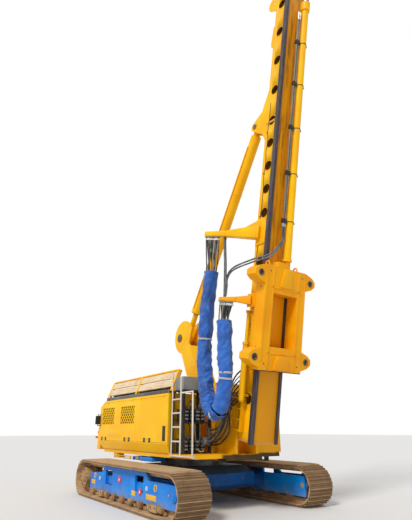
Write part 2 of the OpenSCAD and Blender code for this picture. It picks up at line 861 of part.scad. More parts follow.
module rack_planks() {
    at_rack() color(wood) for (i = [0 : rack_bays - 1]) for (z = [190, 420])
        translate([-plank_t, post_y(i) - 30, z])
            cube([plank_t, (rack_y[1] - rack_y[0]) / rack_bays - 8, plank_h]);
}

// Valve bank: an open frame with shelves, valve blocks and hose stubs
bank_x = [-1400, -640];
bank_y = [-1760, -1240];
bank_top = 2640;
module valve_bank() {
    placed() color(yellow) {
        for (x = bank_x) for (y = bank_y)
            block([x - 30, y - 30, deck_top], [x + 30, y + 30, bank_top]);
        for (z = [deck_top, 1900, bank_top])
            block([bank_x[0] - 30, bank_y[0] - 30, z], [bank_x[1] + 30, bank_y[1] + 30, z + 30]);
    }
    placed() color(dark) for (z = [deck_top + 30, 1930]) for (i = [0 : 3])
        block([bank_x[0] + 90 + i * 160, bank_y[0] + 120, z],
            [bank_x[0] + 210 + i * 160, bank_y[1] - 60, z + 300]);
}

// The box stands back, clear of the hoses when the leader is upright
module deck_box() {
    placed() color(grey) block([-1330, bank_y[0] + 130, bank_top + 30],
        [-700, bank_y[1], bank_top + 360]);
}

// Winch on the deck behind the boom
winch_at = [60, deck_top + 330];
winch_w = 520;
module winch_frame() {
    placed() color(yellow) both_sides(winch_w / 2 + side_gap, winch_w / 2 + side_gap + 35)
        difference() {
            union() {
                translate(winch_at) circle(r = 150);
                polygon([[winch_at[0] - 330, deck_top], [winch_at[0] + 330, deck_top],
                    winch_at + [130, 60], winch_at + [-130, 60]]);
            }
            translate(winch_at) circle(r = 50 + pin_gap);
        }
}

module winch_drum() {
    placed() color(dark) {
        bar_x(50, -winch_w / 2 - 45, winch_w / 2 + 45, winch_at);
        bar_x(200, -winch_w / 2, winch_w / 2, winch_at);
        for (side = [-1, 1])
            bar_x(290, side * (winch_w / 2 - 15) - 15, side * (winch_w / 2 - 15) + 15, winch_at);
    }
}

// Leader: a hollow box behind its rails, with access holes through both sides
box_x = leader_w / 2 - rail_w + 5;
box_front = 30;
holes = [for (i = [0 : 5]) 4190 + i * 660, for (i = [0 : 8]) 8160 + i * 940];
low_holes = [for (i = [0 : 2]) 3530 - i * 660];
hole_d = 200;
module leader_box() {
    at_leader() color(yellow) difference() {
        block([-box_x, box_front, 60], [box_x, leader_d, leader_l]);
        block([-box_x + plate_t, box_front + plate_t, 60 + plate_t],
            [box_x - plate_t, leader_d - plate_t, leader_l - plate_t]);
        for (s = concat(holes, low_holes)) if (s < leader_l - 300)
            translate([-box_x - 1, hole_d + box_front, s]) rotate([0, 90, 0])
                cylinder(r = hole_r, h = 2 * box_x + 2);
    }
}

module guide_rails() {
    at_leader() color(dark) for (side = [-1, 1])
        block([side * (box_x + rail_w / 2 - 5) - rail_w / 2, 0, 0],
            [side * (box_x + rail_w / 2 - 5) + rail_w / 2, box_front, leader_l]);
    at_leader() color(dark) for (side = [-1, 1])
        block([side * (box_x + rail_w / 2 - 2.5) - rail_w / 2 + 2.5, box_front, 0],
            [side * (box_x + rail_w / 2 - 2.5) + rail_w / 2 - 2.5, rail_d, leader_l]);
}

// Foot: an end plate and two finned lugs that take the tilt pin
lug_x0 = 190;
lug_x1 = nose_x0 - side_gap;
module leader_foot() {
    at_leader() color(orange) block([-box_x, box_front, 0], [box_x, leader_d, 60]);
    at_leader() color(yellow) difference() {
        union() {
            both_sides(lug_x0, lug_x1) {
                translate(tilt_ds) circle(r = 140);
                polygon([[leader_d, 180], [leader_d + 60, 180], tilt_ds + [100, -100],
                    tilt_ds + [40, 135], [leader_d + 60, 1650], [leader_d, 1650]]);
            }
            for (s = [330, 560, 1160, 1400])
                block([-lug_x0, leader_d, s], [lug_x0, leader_d + 90, s + 25]);
        }
        bar_x(pin_r + pin_gap, -lug_x1 - 1, lug_x1 + 1, tilt_ds);
    }
}

// Bracket on the leader's back for the backstay: flared cheeks and a clevis
clevis_x0 = 105;
clevis_x1 = 165;
module stay_bracket() {
    at_leader() color(yellow) {
        both_sides(box_x - plate_t, box_x) polygon([[leader_d, 7700], [leader_d + 260, 8150],
            [leader_d + 260, 8650], [leader_d, 9300]]);
        both_sides(clevis_x0, clevis_x1) {
            translate(stay_ds) circle(r = 150);
            polygon([[leader_d, 7900], stay_ds + [60, -135], stay_ds + [60, 135],
                [leader_d, 9150]]);
        }
        block([-box_x + plate_t, leader_d, 8380], [box_x - plate_t, leader_d + 240, 8410]);
        bar_x(pin_r - 5, -clevis_x1 - 20, clevis_x1 + 20, stay_ds);
    }
    // Two lug plates further up the back, as on the machine
    at_leader() color(yellow) {
        both_sides(box_x - plate_t, box_x) {
            polygon([[leader_d, 10650], [leader_d + 90, 10700], [leader_d + 110, 10850],
                [leader_d + 60, 11350], [leader_d, 11400]]);
            difference() {
                union() {
                    translate([leader_d + 130, 12250]) circle(r = 230);
                    translate([leader_d, 11950]) square([100, 600]);
                }
                translate([leader_d - 200, 11900]) square([200, 700]);
                translate([leader_d + 150, 12280]) circle(r = 45);
            }
        }
    }
}

// Head: cheeks above the box that hold a front and a rear rope sheave
sheave_w = 90;
cheek_gap = sheave_w / 2 + side_gap;
module leader_head() {
    at_leader() color(yellow) {
        difference() {
            block([-box_x - 40, 0, leader_l], [box_x + 40, leader_d + 40, leader_l + 60]);
            block([-cheek_gap, -1, leader_l - 1], [cheek_gap, 0, leader_l + 61]);
        }
        both_sides(cheek_gap, cheek_gap + 40) difference() {
            polygon([[-60, leader_l + 60], [sheave_d[0] - 130, sheave_s - 90],
                [sheave_d[0] - 130, sheave_s + 90], [sheave_d[0] + 60, head_top_s],
                [sheave_d[1] - 60, head_top_s], [sheave_d[1] + 130, sheave_s + 90],
                [sheave_d[1] + 130, sheave_s - 90], [leader_d, leader_l + 60]]);
            for (d = sheave_d) translate([d, sheave_s]) circle(r = 40 + pin_gap);
        }
        difference() {
            block([feed_x - 80, feed_d - 90, leader_l - 250], [feed_x + 80, box_front, leader_l - 40]);
            translate([feed_x, feed_d, leader_l - 251]) cylinder(r = feed_rod_r + 0.3, h = 160);
        }
    }
}

module sheave(d) {
    at_leader() color(dark) {
        translate([-sheave_w / 2, d, sheave_s]) rotate([0, 90, 0]) rotate_extrude($fn = 64)
            polygon([[60, 0], [sheave_r, 0], [sheave_r, 12], [sheave_r - 35, sheave_w / 2 - 8],
                [sheave_r - 35, sheave_w / 2 + 8], [sheave_r, sheave_w - 12],
                [sheave_r, sheave_w], [60, sheave_w]]);
        bar_x(60, -sheave_w / 2, sheave_w / 2, [d, sheave_s]);
        bar_x(40, -cheek_gap - 40, cheek_gap + 40, [d, sheave_s]);
    }
}

module head_sheave_front() {
    sheave(sheave_d[0]);
}

module head_sheave_rear() {
    sheave(sheave_d[1]);
}

// Hose arms: a tapering beam from the leader or the sledge, then a round cross bar
upper_arm_s = 5050;
upper_arm_tip = [-1110, 1760];
upper_arm_knee = [-680, 1150];
hanger_w = 250;
// A plate that the hoses hang from, level as the machine is parked
module hanger(end, w, h) {
    placed() translate(end - [w / 2, w / 2, 0]) cube([w, w, h]);
}

module upper_hose_arm() {
    knee = upper_arm_knee;
    reach = upper_arm_tip - knee;
    color(yellow) {
        at_leader() {
            translate([0, 0, upper_arm_s - 60]) linear_extrude(120)
                polygon([[-box_x, leader_d - 200], knee + [-60, 20], knee + [60, 100],
                    [-box_x, leader_d]]);
            translate([-box_x, 0, 0]) rotate([90, 0, -90]) linear_extrude(20)
                polygon([[-leader_d + 20, upper_arm_s - 260], [-leader_d + 180, upper_arm_s - 140],
                    [-leader_d + 180, upper_arm_s + 140], [-leader_d + 20, upper_arm_s + 260]]);
            translate([knee[0] + 10, knee[1] + 40, upper_arm_s])
                rotate([0, 0, atan2(reach[1], reach[0])]) rotate([0, 90, 0])
                cylinder(r = 55, h = norm(reach));
        }
        hanger(loop_route[0], hanger_w, 60);
        hanger(supply_route[len(supply_route) - 1], 150, 60);
    }
}

lower_arm_s = 3220;
module sledge_hose_arm() {
    color(yellow) {
        at_leader() {
            translate([0, 0, lower_arm_s - 40]) linear_extrude(80)
                polygon([[-sledge_w / 2, 40], [-sledge_w / 2, 200], [-1060, 860], [-1140, 800]]);
            translate([0, 0, lower_arm_s + 40]) linear_extrude(50)
                polygon([[-900, 640], [-1060, 860], [-1140, 800], [-980, 580]]);
        }
        hanger(loop_route[len(loop_route) - 1], hanger_w, 65);
    }
}

// Tension cylinder that stands beside the leader's foot
tension_x = -510;
tension_d = 350;
module tension_cylinder() {
    at_leader() color(yellow) {
        translate([tension_x, tension_d, 940]) {
            cylinder(r = 75, h = 1250);
            sphere(r = 75);
            translate([0, 0, 1250]) cylinder(r = 90, h = 60);
            translate([0, 0, 1310]) cylinder(r = 45, h = 760);
        }
        for (s = [1000, 2950])
            block([tension_x - 60, tension_d - 40, s], [-box_x, tension_d + 40, s + 60]);
    }
}

// Feed cylinder: its barrel rides on the sledge, its rod hangs from the leader's head
feed_x = 130;
feed_d = -165;
feed_seat_h = 220;
feed_s = sledge_s + sledge_l + feed_seat_h;
rod_low = 9400;
module feed_rod() {
    at_leader() color(steel) translate([feed_x, feed_d, rod_low])
        cylinder(r = feed_rod_r, h = leader_l - 91 - rod_low);
}

module feed_barrel() {
    at_leader() color(yellow) difference() {
        union() {
            translate([feed_x, feed_d, feed_s]) cylinder(r = feed_r, h = feed_l);
            translate([feed_x, feed_d, feed_s + feed_l - 260]) cylinder(r = feed_r + 30, h = 260);
            translate([feed_x, feed_d, feed_s]) cylinder(r = feed_r + 20, h = 60);
        }
        translate([feed_x, feed_d, feed_s + 200]) cylinder(r = feed_rod_r + pin_gap, h = feed_l);
    }
}

pipe_r = 20;
pipe_x = [-90, -35];
clamp_pitch = 1300;
module feed_pipes() {
    at_leader() color(steel) difference() {
        union() {
            for (x = pipe_x) translate([x, feed_d, feed_s + 900]) cylinder(r = pipe_r, h = 6300);
            for (i = [0 : 4]) translate([0, 0, feed_s + 1000 + i * clamp_pitch])
                block([pipe_x[0] - 40, feed_d - 34, 0], [feed_x + feed_r + 40, feed_d + 34, 40]);
        }
        translate([feed_x, feed_d, feed_s]) cylinder(r = feed_r + 0.3, h = feed_l);
    }
}

// Sledge: a window frame in front of the rails, with an eye at each corner and claws
sledge_front = -340;
sledge_back = -8;
window_x = 380;
window_s = [540, 1780];
eye_s = [280, 2200];
ear_h = 300;
claw_gap = 6;
module ear(x, s) {
    side = x < 0 ? -1 : 1;
    translate([0, sledge_back, 0]) rotate([90, 0, 0]) linear_extrude(sledge_back - sledge_front)
        polygon([[side * sledge_w / 2, s - ear_h * 0.75], [side * sledge_w / 2, s + ear_h * 0.75],
            [x + side * 60, s + ear_h * 0.5], [x + side * 170, s + 60],
            [x + side * 170, s - 60], [x + side * 60, s - ear_h * 0.5]]);
}

module sledge_frame() {
    at_leader() translate([0, 0, sledge_s]) color(yellow) difference() {
        union() {
            block([-sledge_w / 2, sledge_front, 0], [sledge_w / 2, sledge_back, sledge_l]);
            for (s = eye_s) for (side = [-1, 1]) ear(side * eye_x / 2, s);
            for (side = [-1, 1]) {
                block([side * (leader_w / 2 + 70) - 60, sledge_back, 100],
                    [side * (leader_w / 2 + 70) + 60, rail_d + 90, sledge_l - 100]);
                for (s = [150, sledge_l - 550]) block([side * (leader_w / 2 - 20) - 30 - 8, rail_d + claw_gap, s],
                    [side * (leader_w / 2 - 20) + 30 + 8, rail_d + 90, s + 400]);
            }
            translate([feed_x - 60, feed_d - 60, sledge_l]) cube([120, 120, feed_seat_h]);
            block([-300, sledge_front, sledge_l], [20, sledge_back, sledge_l + 120]);
        }
        block([-window_x, sledge_front - 1, window_s[0]], [window_x, sledge_back + 1, window_s[1]]);
        for (s = eye_s) for (side = [-1, 1]) translate([side * eye_x / 2, sledge_back + 1, s])
            rotate([90, 0, 0]) cylinder(r = eye_r, h = sledge_back - sledge_front + 2);
    }
}

// Backstay cylinder: barrel on the leader, rod's eye on the boom's pin
module at_stay() {
    placed() translate([0, stay_pin[0], stay_pin[1]]) rotate([stay_angle + 180, 0, 0]) children();
}

stay_barrel_l = stay_len - stay_show;
module stay_barrel() {
    at_stay() color(yellow) difference() {
        union() {
            bar_x(130, -clevis_x0 + side_gap, clevis_x0 - side_gap);
            translate([0, 0, 90]) cylinder(r = 100, h = 200);
            translate([0, 0, 240]) cylinder(r = stay_r, h = stay_barrel_l - 240, $fn = 64);
            translate([0, 0, stay_barrel_l - 140]) cylinder(r = stay_r + 18, h = 140, $fn = 64);
        }
        bar_x(pin_r - 5 + pin_gap, -clevis_x0, clevis_x0);
        translate([0, 0, stay_barrel_l - 2300]) cylinder(r = stay_rod_r + pin_gap, h = 2400);
    }
}

open_pin_gap = 25;
module stay_rod() {
    at_stay() color(steel) difference() {
        union() {
            translate([0, 0, stay_barrel_l - 1300])
                cylinder(r = stay_rod_r, h = 1300 + stay_show - 100, $fn = 64);
            bar_x(140, -100, 100, [0, stay_len]);
        }
        bar_x(pin_r + open_pin_gap, -101, 101, [0, stay_len]);
    }
}

// Routes of the hoses, from points chosen by hand, about the turntable's axis
loop_route = [[-1000, -2390, 6620], [-1000, -2390, 6200], [-1000, -2390, 5700],
    [-1000, -2150, 4500], [-1000, -1980, 3500], [-1000, -2040, 2800], [-1000, -2200, 2330],
    [-1000, -2480, 2120], [-1000, -2760, 2330], [-1000, -2930, 2900], [-1000, -2920, 3500],
    [-1000, -2920, 4150], [-1000, -2920, 4650]];
supply_route = [[-740, -1820, 1500], [-740, -2010, 1530], [-740, -2290, 1720],
    [-740, -2480, 2080], [-740, -2540, 2700], [-740, -2540, 3800], [-760, -2620, 4800],
    [-780, -2700, 5700], [-780, -2700, 6100], [-780, -2700, 6560]];
feed_hose_route = [[-62, -4210, 6497], [-62, -4170, 6297], [-62, -4130, 6097],
    [-420, -4070, 5680], [-720, -3760, 5560], [-950, -3280, 5450], [-1000, -3065, 5267],
    [-1000, -3025, 5067], [-1000, -2975, 4817]];
bundle_r = 110;
supply_r = 50;
sledge_hose_r = 30;

module loop_hoses() {
    placed() color(dark) tube(smooth(loop_route, 3), bundle_r, 12);
}

module supply_hoses() {
    placed() color(dark) tube(smooth(supply_route, 3), supply_r, 8);
}

module sledge_hoses() {
    placed() color(dark) tube(smooth(feed_hose_route, 2), sledge_hose_r, 8);
}

// Cloth sleeves round the loop's two legs, as stretches of its rings
sleeve_spans = [[6, 17], [26, 33]];
sleeve_t = 60;
module hose_sleeve() {
    full = smooth(loop_route, 3);
    placed() color(cloth) for (span = sleeve_spans) difference() {
        tube([for (i = [span[0] : span[1]]) full[i]], bundle_r + sleeve_t, 12);
        tube([for (i = [span[0] - 1 : span[1] + 1]) full[i]], bundle_r + 0.5, 12);
    }
}

car_body();
track_frame_right();
track_frame_left();
track_right();
track_left();
drive_sprockets();
front_idlers();
bottom_rollers();
slew_ring();
deck_frame();
nose_frame();
stay_boom();
engine_housing();
lid_right_rear();
lid_right_front();
lid_left();
engine_block();
cooler_pack();
counterweight();
cab_shell();
cab_door();
cab_glass();
cab_seat();
ladder();
plank_rack();
rack_planks();
valve_bank();
deck_box();
winch_frame();
winch_drum();
leader_box();
guide_rails();
leader_foot();
stay_bracket();
leader_head();
head_sheave_front();
head_sheave_rear();
upper_hose_arm();
tension_cylinder();
feed_rod();
sledge_frame();
sledge_hose_arm();
feed_barrel();
feed_pipes();
stay_barrel();
stay_rod();
hose_sleeve();
loop_hoses();
supply_hoses();
sledge_hoses();
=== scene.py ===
import json
import math
import bmesh
import bpy
from mathutils import Matrix, Vector, noise

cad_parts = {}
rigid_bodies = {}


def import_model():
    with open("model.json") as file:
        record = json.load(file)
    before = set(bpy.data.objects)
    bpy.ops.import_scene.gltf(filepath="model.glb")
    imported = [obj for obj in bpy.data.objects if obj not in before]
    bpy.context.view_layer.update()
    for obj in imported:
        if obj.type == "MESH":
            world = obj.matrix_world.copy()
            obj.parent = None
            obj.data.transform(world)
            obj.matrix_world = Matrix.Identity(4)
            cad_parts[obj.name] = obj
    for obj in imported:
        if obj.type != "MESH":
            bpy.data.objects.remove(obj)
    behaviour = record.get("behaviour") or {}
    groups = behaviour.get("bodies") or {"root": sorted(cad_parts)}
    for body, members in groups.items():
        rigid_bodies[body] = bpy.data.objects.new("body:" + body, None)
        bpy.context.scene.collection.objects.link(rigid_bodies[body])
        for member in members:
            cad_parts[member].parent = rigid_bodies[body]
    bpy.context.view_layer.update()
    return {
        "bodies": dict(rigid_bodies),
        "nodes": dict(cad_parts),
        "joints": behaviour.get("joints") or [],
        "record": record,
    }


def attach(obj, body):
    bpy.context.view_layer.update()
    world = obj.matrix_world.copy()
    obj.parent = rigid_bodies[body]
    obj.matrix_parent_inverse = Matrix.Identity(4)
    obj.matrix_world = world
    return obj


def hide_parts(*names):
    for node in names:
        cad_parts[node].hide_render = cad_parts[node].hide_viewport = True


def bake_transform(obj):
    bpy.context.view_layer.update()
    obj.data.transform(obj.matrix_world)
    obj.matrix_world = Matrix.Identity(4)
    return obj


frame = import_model()
nodes = frame["nodes"]

# Places in the row frame, metres: the turntable's axis and the leader's foot
turntableY = 1.410275
leaderLean = math.radians(11.3)
leaderFoot = Vector((0.0, turntableY - 3.03, 1.43))
onLeader = Matrix.Translation(leaderFoot) @ Matrix.Rotation(leaderLean, 4, "X")
onDeck = Matrix.Translation((0.0, turntableY, 0.0))


# Camera: fitted to the photograph's vertical edges and track ends
view = {
    "place": (-7.07, -9.59, 1.738),
    "pitch": 21.83,
    "heading": -34.4,
    "lens": 29.46,
    "sensor": 36.0,
}


def setCamera():
    data = bpy.data.cameras.new("photoCamera")
    data.lens = view["lens"]
    data.sensor_width = view["sensor"]
    data.clip_end = 400
    camera = bpy.data.objects.new("photoCamera", data)
    camera.location = view["place"]
    camera.rotation_euler = (math.radians(90 + view["pitch"]), 0, math.radians(view["heading"]))
    bpy.context.scene.collection.objects.link(camera)
    bpy.context.scene.camera = camera


# A value in a material's nodes: sums with it add the nodes that work it out
class Value:
    def __init__(self, tree, socket):
        self.tree, self.socket = tree, socket

    def math(self, kind, other=0.0):
        return take(self.tree, "Math", 0, {0: self, 1: other}, operation=kind)

    def __add__(self, other):
        return self.math("ADD", other)

    def __sub__(self, other):
        return self.math("SUBTRACT", other)

    def __rsub__(self, other):
        return take(self.tree, "Math", 0, {0: other, 1: self}, operation="SUBTRACT")

    def __mul__(self, other):
        return self.math("MULTIPLY", other)

    def __or__(self, other):
        return self.math("MAXIMUM", other)


def put(tree, kind, values=None, **settings):
    node = tree.nodes.new("ShaderNode" + kind)
    for name, value in settings.items():
        setattr(node, name, value)
    for name, value in (values or {}).items():
        if isinstance(value, Value):
            tree.links.new(value.socket, node.inputs[name])
        else:
            node.inputs[name].default_value = value
    return node


def take(tree, kind, output, values=None, **settings):
    return Value(tree, put(tree, kind, values, **settings).outputs[output])


def tint(code):
    parts = [int(code[i:i + 2], 16) / 255 for i in (1, 3, 5)]
    return (*[p / 12.92 if p < 0.04045 else ((p + 0.055) / 1.055) ** 2.4 for p in parts], 1.0)


def place(tree, turn=(0, 0, 0), at=(0, 0, 0), stretch=(1, 1, 1)):
    spot = take(tree, "TexCoord", "Object")
    local = take(tree, "Mapping", 0, {"Vector": spot, "Location": at, "Rotation": turn}, vector_type="TEXTURE")
    return take(tree, "Mapping", 0, {"Vector": local, "Scale": stretch})


def grain(where, scale, detail=4.0, rough=0.55):
    return take(where.tree, "TexNoise", "Fac", {"Vector": where, "Scale": scale, "Detail": detail,
                                                "Roughness": rough})


def between(value, low, high, top=1.0):
    return take(value.tree, "MapRange", "Result", {"Value": value, "From Min": low, "From Max": high,
                                                   "To Max": top}, interpolation_type="SMOOTHSTEP")


def mixed(factor, low, high):
    low, high = (tint(colour) if isinstance(colour, str) else colour for colour in (low, high))
    return take(factor.tree, "Mix", 2, {0: factor, 6: low, 7: high}, data_type="RGBA")


def axes(where):
    node = put(where.tree, "SeparateXYZ", {"Vector": where})
    return {axis: Value(where.tree, node.outputs[axis]) for axis in "XYZ"}


def inside(value, low, high, edge=0.004):
    return between(value, low - edge, low) - between(value, high, high + edge)


def newMaterial(name):
    material = bpy.data.materials.new(name)
    material.use_nodes = True
    tree = material.node_tree
    tree.nodes.clear()
    shader = put(tree, "BsdfPrincipled")
    put(tree, "OutputMaterial", {0: Value(tree, shader.outputs[0])})
    return material, tree, shader


def finishSurface(shader, colour, rough, height, depth=0.004, metallic=0.0):
    bump = take(colour.tree, "Bump", 0, {"Height": height, "Distance": depth, "Strength": 0.5})
    for name, value in (("Base Color", colour), ("Roughness", rough), ("Normal", bump)):
        colour.tree.links.new(value.socket, shader.inputs[name])
    shader.inputs["Metallic"].default_value = metallic


# Renames a finished look; gives its tree, its shader's colour socket and the colour that feeds it
def reopen(material, name):
    material.name = name
    tree = material.node_tree
    target = next(n for n in tree.nodes if n.type == "BSDF_PRINCIPLED").inputs["Base Color"]
    return tree, target, Value(tree, target.links[0].from_socket)


# Paint on plate: faded patches, rain streaks, settled dust, splashed mud and small chips
paintLooks = {
    "machineYellow": {"colour": "#fab400", "faded": "#ffc408", "streak": "#b56a08", "streaks": 0.3,
                      "dust": "#dcae62", "dusty": 0.2, "mudTop": 1.0, "chip": "#4b3015", "chips": 0.69},
    "housingYellow": {"colour": "#ffbe00", "faded": "#ffca06", "streak": "#d08608", "streaks": 0.16,
                      "dust": "#e0b45e", "dusty": 0.14, "mudTop": 1.35, "chip": "#6b4318", "chips": 0.73},
    "leaderYellow": {"colour": "#fcb800", "faded": "#ffc60a", "streak": "#a8620e", "streaks": 0.34,
                     "dust": "#dba95a", "dusty": 0.14, "mudTop": 1.5, "chip": "#3d2812", "chips": 0.68},
    "leaderBoxYellow": {"colour": "#fcb800", "faded": "#ffc408", "streak": "#a05c10", "streaks": 0.42,
                        "dust": "#d8a656", "dusty": 0.14, "mudTop": 1.5, "chip": "#3d2812", "chips": 0.66},
    "sledgeYellow": {"colour": "#f4a200", "faded": "#fbb004", "streak": "#a0600f", "streaks": 0.3,
                     "dust": "#dcae60", "dusty": 0.16, "mudTop": 1.9, "chip": "#4a2d12", "chips": 0.66},
    # painted shade: a darker, shaded orange copy of the yellow paint, used on the leader's foot
    "paintedShadeOrange": {"colour": "#e8900a", "faded": "#f09c14", "streak": "#7a4713", "streaks": 0.5,
                    "dust": "#c0965a", "dusty": 0.25, "mudTop": 2.0, "chip": "#3b2410", "chips": 0.64},
    "frameBlue": {"colour": "#0076d6", "faded": "#0c8ce8", "streak": "#4a7c98", "streaks": 0.2,
                  "dust": "#b39b78", "dusty": 0.32, "mudTop": 0.5, "chip": "#a98e66", "chips": 0.66},
    # painted shade: a darker copy of the frame's blue, used on the car body under the deck
    "paintedShadeBlue": {"colour": "#04488a", "faded": "#075aa8", "streak": "#38505e", "streaks": 0.3,
                  "dust": "#8a7a60", "dusty": 0.22, "mudTop": 0.5, "chip": "#7d6a4c", "chips": 0.66},
    "ladderWhite": {"colour": "#d8cbbd", "faded": "#e6dccf", "streak": "#a5835f", "streaks": 0.35,
                    "dust": "#cfb694", "dusty": 0.25, "mudTop": 1.4, "chip": "#8a5230", "chips": 0.66},
    "boxGrey": {"colour": "#8f8f88", "faded": "#a8a79e", "streak": "#5c5a52", "streaks": 0.45,
                "dust": "#b9a88c", "dusty": 0.35, "mudTop": 1.3, "chip": "#4b4038", "chips": 0.62},
    "engineGrey": {"colour": "#55585a", "faded": "#6a6d6e", "streak": "#2b2a28", "streaks": 0.5,
                   "dust": "#8c7d68", "dusty": 0.45, "mudTop": 1.4, "chip": "#2a2724", "chips": 0.6},
}


def paintedPlate(name, lean=0.0, frontShadeAndRust=None):
    look = paintLooks[name]
    material, tree, shader = newMaterial(name)
    local = place(tree, turn=(lean, 0, 0), at=leaderFoot if lean else (0, 0, 0))
    flat = place(tree)
    drips = take(tree, "Mapping", 0, {"Vector": local, "Scale": (9, 9, 0.55)})
    patch = between(grain(local, 0.9, 5), 0.42, 0.62)
    colour = mixed(patch, look["colour"], look["faded"])
    fine = grain(local, 26, 6, 0.7)
    streak = between(grain(drips, 1.0, 6, 0.7), 0.56, 0.8) * look["streaks"]
    colour = mixed(streak, colour, look["streak"])
    if frontShadeAndRust:  # rust streaks down the front between the rails, with painted shade on that front face and in the box's hollow
        parts = axes(local)
        front = 1.0 - between(parts["Y"], frontShadeAndRust["depth"], frontShadeAndRust["depth"] + 0.004)
        high = between(parts["Z"], frontShadeAndRust["low"], frontShadeAndRust["low"] + 0.6)
        # painted shade: the box's front face between the rails is painted a shaded orange
        colour = mixed(front * 0.85, colour, frontShadeAndRust["colour"])
        brown = between(grain(drips, 1.6, 6, 0.75), 0.44, 0.66) * 0.9
        colour = mixed(front * high * brown, colour, frontShadeAndRust["rust"])
        # painted shade: the box's hollow inside is painted near black
        hollow = inside(parts["X"], -0.307, 0.307) * inside(parts["Y"], 0.048, 0.532)
        colour = mixed(hollow, colour, frontShadeAndRust["hollow"])
    up = axes(take(tree, "NewGeometry", "Normal"))["Z"]
    lying = between(up, 0.3, 0.9) * between(fine, 0.3, 0.65)
    film = between(grain(local, 3.2, 6, 0.65), 0.5, 0.78, 0.5)
    dust = (lying | film) * look["dusty"]
    colour = mixed(dust, colour, look["dust"])
    height = axes(flat)["Z"]
    wave = height + grain(flat, 2.4, 5) * -0.5
    splash = 1.0 - between(wave, look["mudTop"] - 0.75, look["mudTop"] - 0.25)
    mud = splash * between(fine, 0.36, 0.6)
    colour = mixed(mud * 0.75, colour, look["dust"])
    chip = between(grain(local, 9, 8, 0.78), look["chips"], look["chips"] + 0.035)
    colour = mixed(chip * 0.85, colour, look["chip"])
    rough = dust * 0.5 + between(fine, 0.2, 0.9, 0.2)
    rough = rough + 0.34
    uneven = mud * 0.8 + chip * -0.35
    uneven = uneven + grain(local, 5, 3) * 0.25
    finishSurface(shader, colour, rough, uneven)
    shader.inputs["Specular IOR Level"].default_value = 0.2
    return material


# Bare and greased metal: two tones, rust in spots, caked earth on what runs in it
metalLooks = {
    "muddyTrack": {"dark": "#a5805a", "light": "#d6b080", "rust": "#9a6a3e", "rusty": 0.4,
                   "earth": "#cfae88", "caked": 0.75, "metallic": 0.05, "rough": 0.8},
    "rollerMud": {"dark": "#8e6c48", "light": "#c89c66", "rust": "#7c4f2c", "rusty": 0.4,
                  "earth": "#c0a077", "caked": 0.8, "metallic": 0.1, "rough": 0.8},
    "darkRail": {"dark": "#332d33", "light": "#5a5056", "rust": "#5f4030", "rusty": 0.3,
                 "earth": "#77665a", "caked": 0.15, "metallic": 0.4, "rough": 0.5},
    "greasedSteel": {"dark": "#3b3b3c", "light": "#6c6b69", "rust": "#6e4628", "rusty": 0.3,
                     "earth": "#7d6a50", "caked": 0.25, "metallic": 0.6, "rough": 0.42},
    "pipeSteel": {"dark": "#66685f", "light": "#8f8f84", "rust": "#7b5b40", "rusty": 0.25,
                  "earth": "#8f8468", "caked": 0.2, "metallic": 0.3, "rough": 0.5},
    "brightSteel": {"dark": "#9c9e9e", "light": "#d9dad8", "rust": "#7b5b40", "rusty": 0.15,
                    "earth": "#9a8668", "caked": 0.12, "metallic": 0.7, "rough": 0.35},
    "chromeRod": {"dark": "#a9adb0", "light": "#d5d8da", "rust": "#8b7256", "rusty": 0.1,
                  "earth": "#8d7a60", "caked": 0.08, "metallic": 0.95, "rough": 0.18},
    "boltSteel": {"dark": "#4d4a45", "light": "#7c7870", "rust": "#6f4526", "rusty": 0.5,
                  "earth": "#9a8262", "caked": 0.35, "metallic": 0.5, "rough": 0.5},
    "blackIron": {"dark": "#151414", "light": "#2c2a28", "rust": "#4a3020", "rusty": 0.2,
                  "earth": "#5d4f3e", "caked": 0.2, "metallic": 0.2, "rough": 0.55},
}


# Track shoes: painted shade, dark, in the gaps between the lugs, and paler at the lugs' tips
shoes = {"wheels": 2.545, "middle": 0.475, "low": 0.44, "high": 0.47, "dark": "#6b5238", "tip": "#e6cca2"}


def shoeMetal():
    material = bareMetal("muddyTrack")
    tree, target, plain = reopen(material, "trackShoes")
    parts = axes(place(tree, at=(0, turntableY, 0)))
    along = parts["Y"].math("ABSOLUTE") - shoes["wheels"] | 0.0
    high = parts["Z"] - shoes["middle"]
    away = (along.math("POWER", 2.0) + high.math("ABSOLUTE").math("POWER", 2.0)).math("SQRT")
    out = between(away, shoes["low"] - 0.035, shoes["low"] - 0.02)
    # painted shade in the gaps between the lugs
    gapShade = out * (1.0 - between(away, shoes["low"], 0.458))
    colour = mixed(gapShade * 0.78, plain, shoes["dark"])
    colour = mixed(between(away, 0.462, shoes["high"], 0.6), colour, shoes["tip"])
    tree.links.new(colour.socket, target)
    return material


def bareMetal(name, lean=0.0, stretch=(1, 1, 1)):
    look = metalLooks[name]
    material, tree, shader = newMaterial(name)
    where = place(tree, turn=(lean, 0, 0), at=leaderFoot if lean else (0, 0, 0), stretch=stretch)
    fine = grain(where, 30, 7, 0.7)
    broad = grain(where, 3.1, 6, 0.7)
    colour = mixed(between(broad, 0.36, 0.66), look["dark"], look["light"])
    rust = between(grain(where, 7, 8, 0.75), 0.5, 0.7) * look["rusty"]
    colour = mixed(rust, colour, look["rust"])
    cake = between(grain(where, 4.6, 7, 0.72), 0.42, 0.6) * look["caked"]
    colour = mixed(cake, colour, look["earth"])
    colour = mixed(between(fine, 0.55, 0.8, 0.35), colour, look["dark"])
    rough = cake * 0.35 + between(fine, 0.1, 0.9, 0.15)
    rough = rough + (look["rough"] - 0.08)
    uneven = cake * 1.2 + fine * 0.4
    finishSurface(shader, colour, rough, uneven, 0.006, look["metallic"])
    return material


hoseLooks = {
    "hoseBlack": ("#1d1d1e", "#3a3937"),
    "hoseGrey": ("#4a4f55", "#6f747a"),
    "hoseBeige": ("#8b7c60", "#a89878"),
    "hoseYellow": ("#c89a1c", "#dab13a"),
}


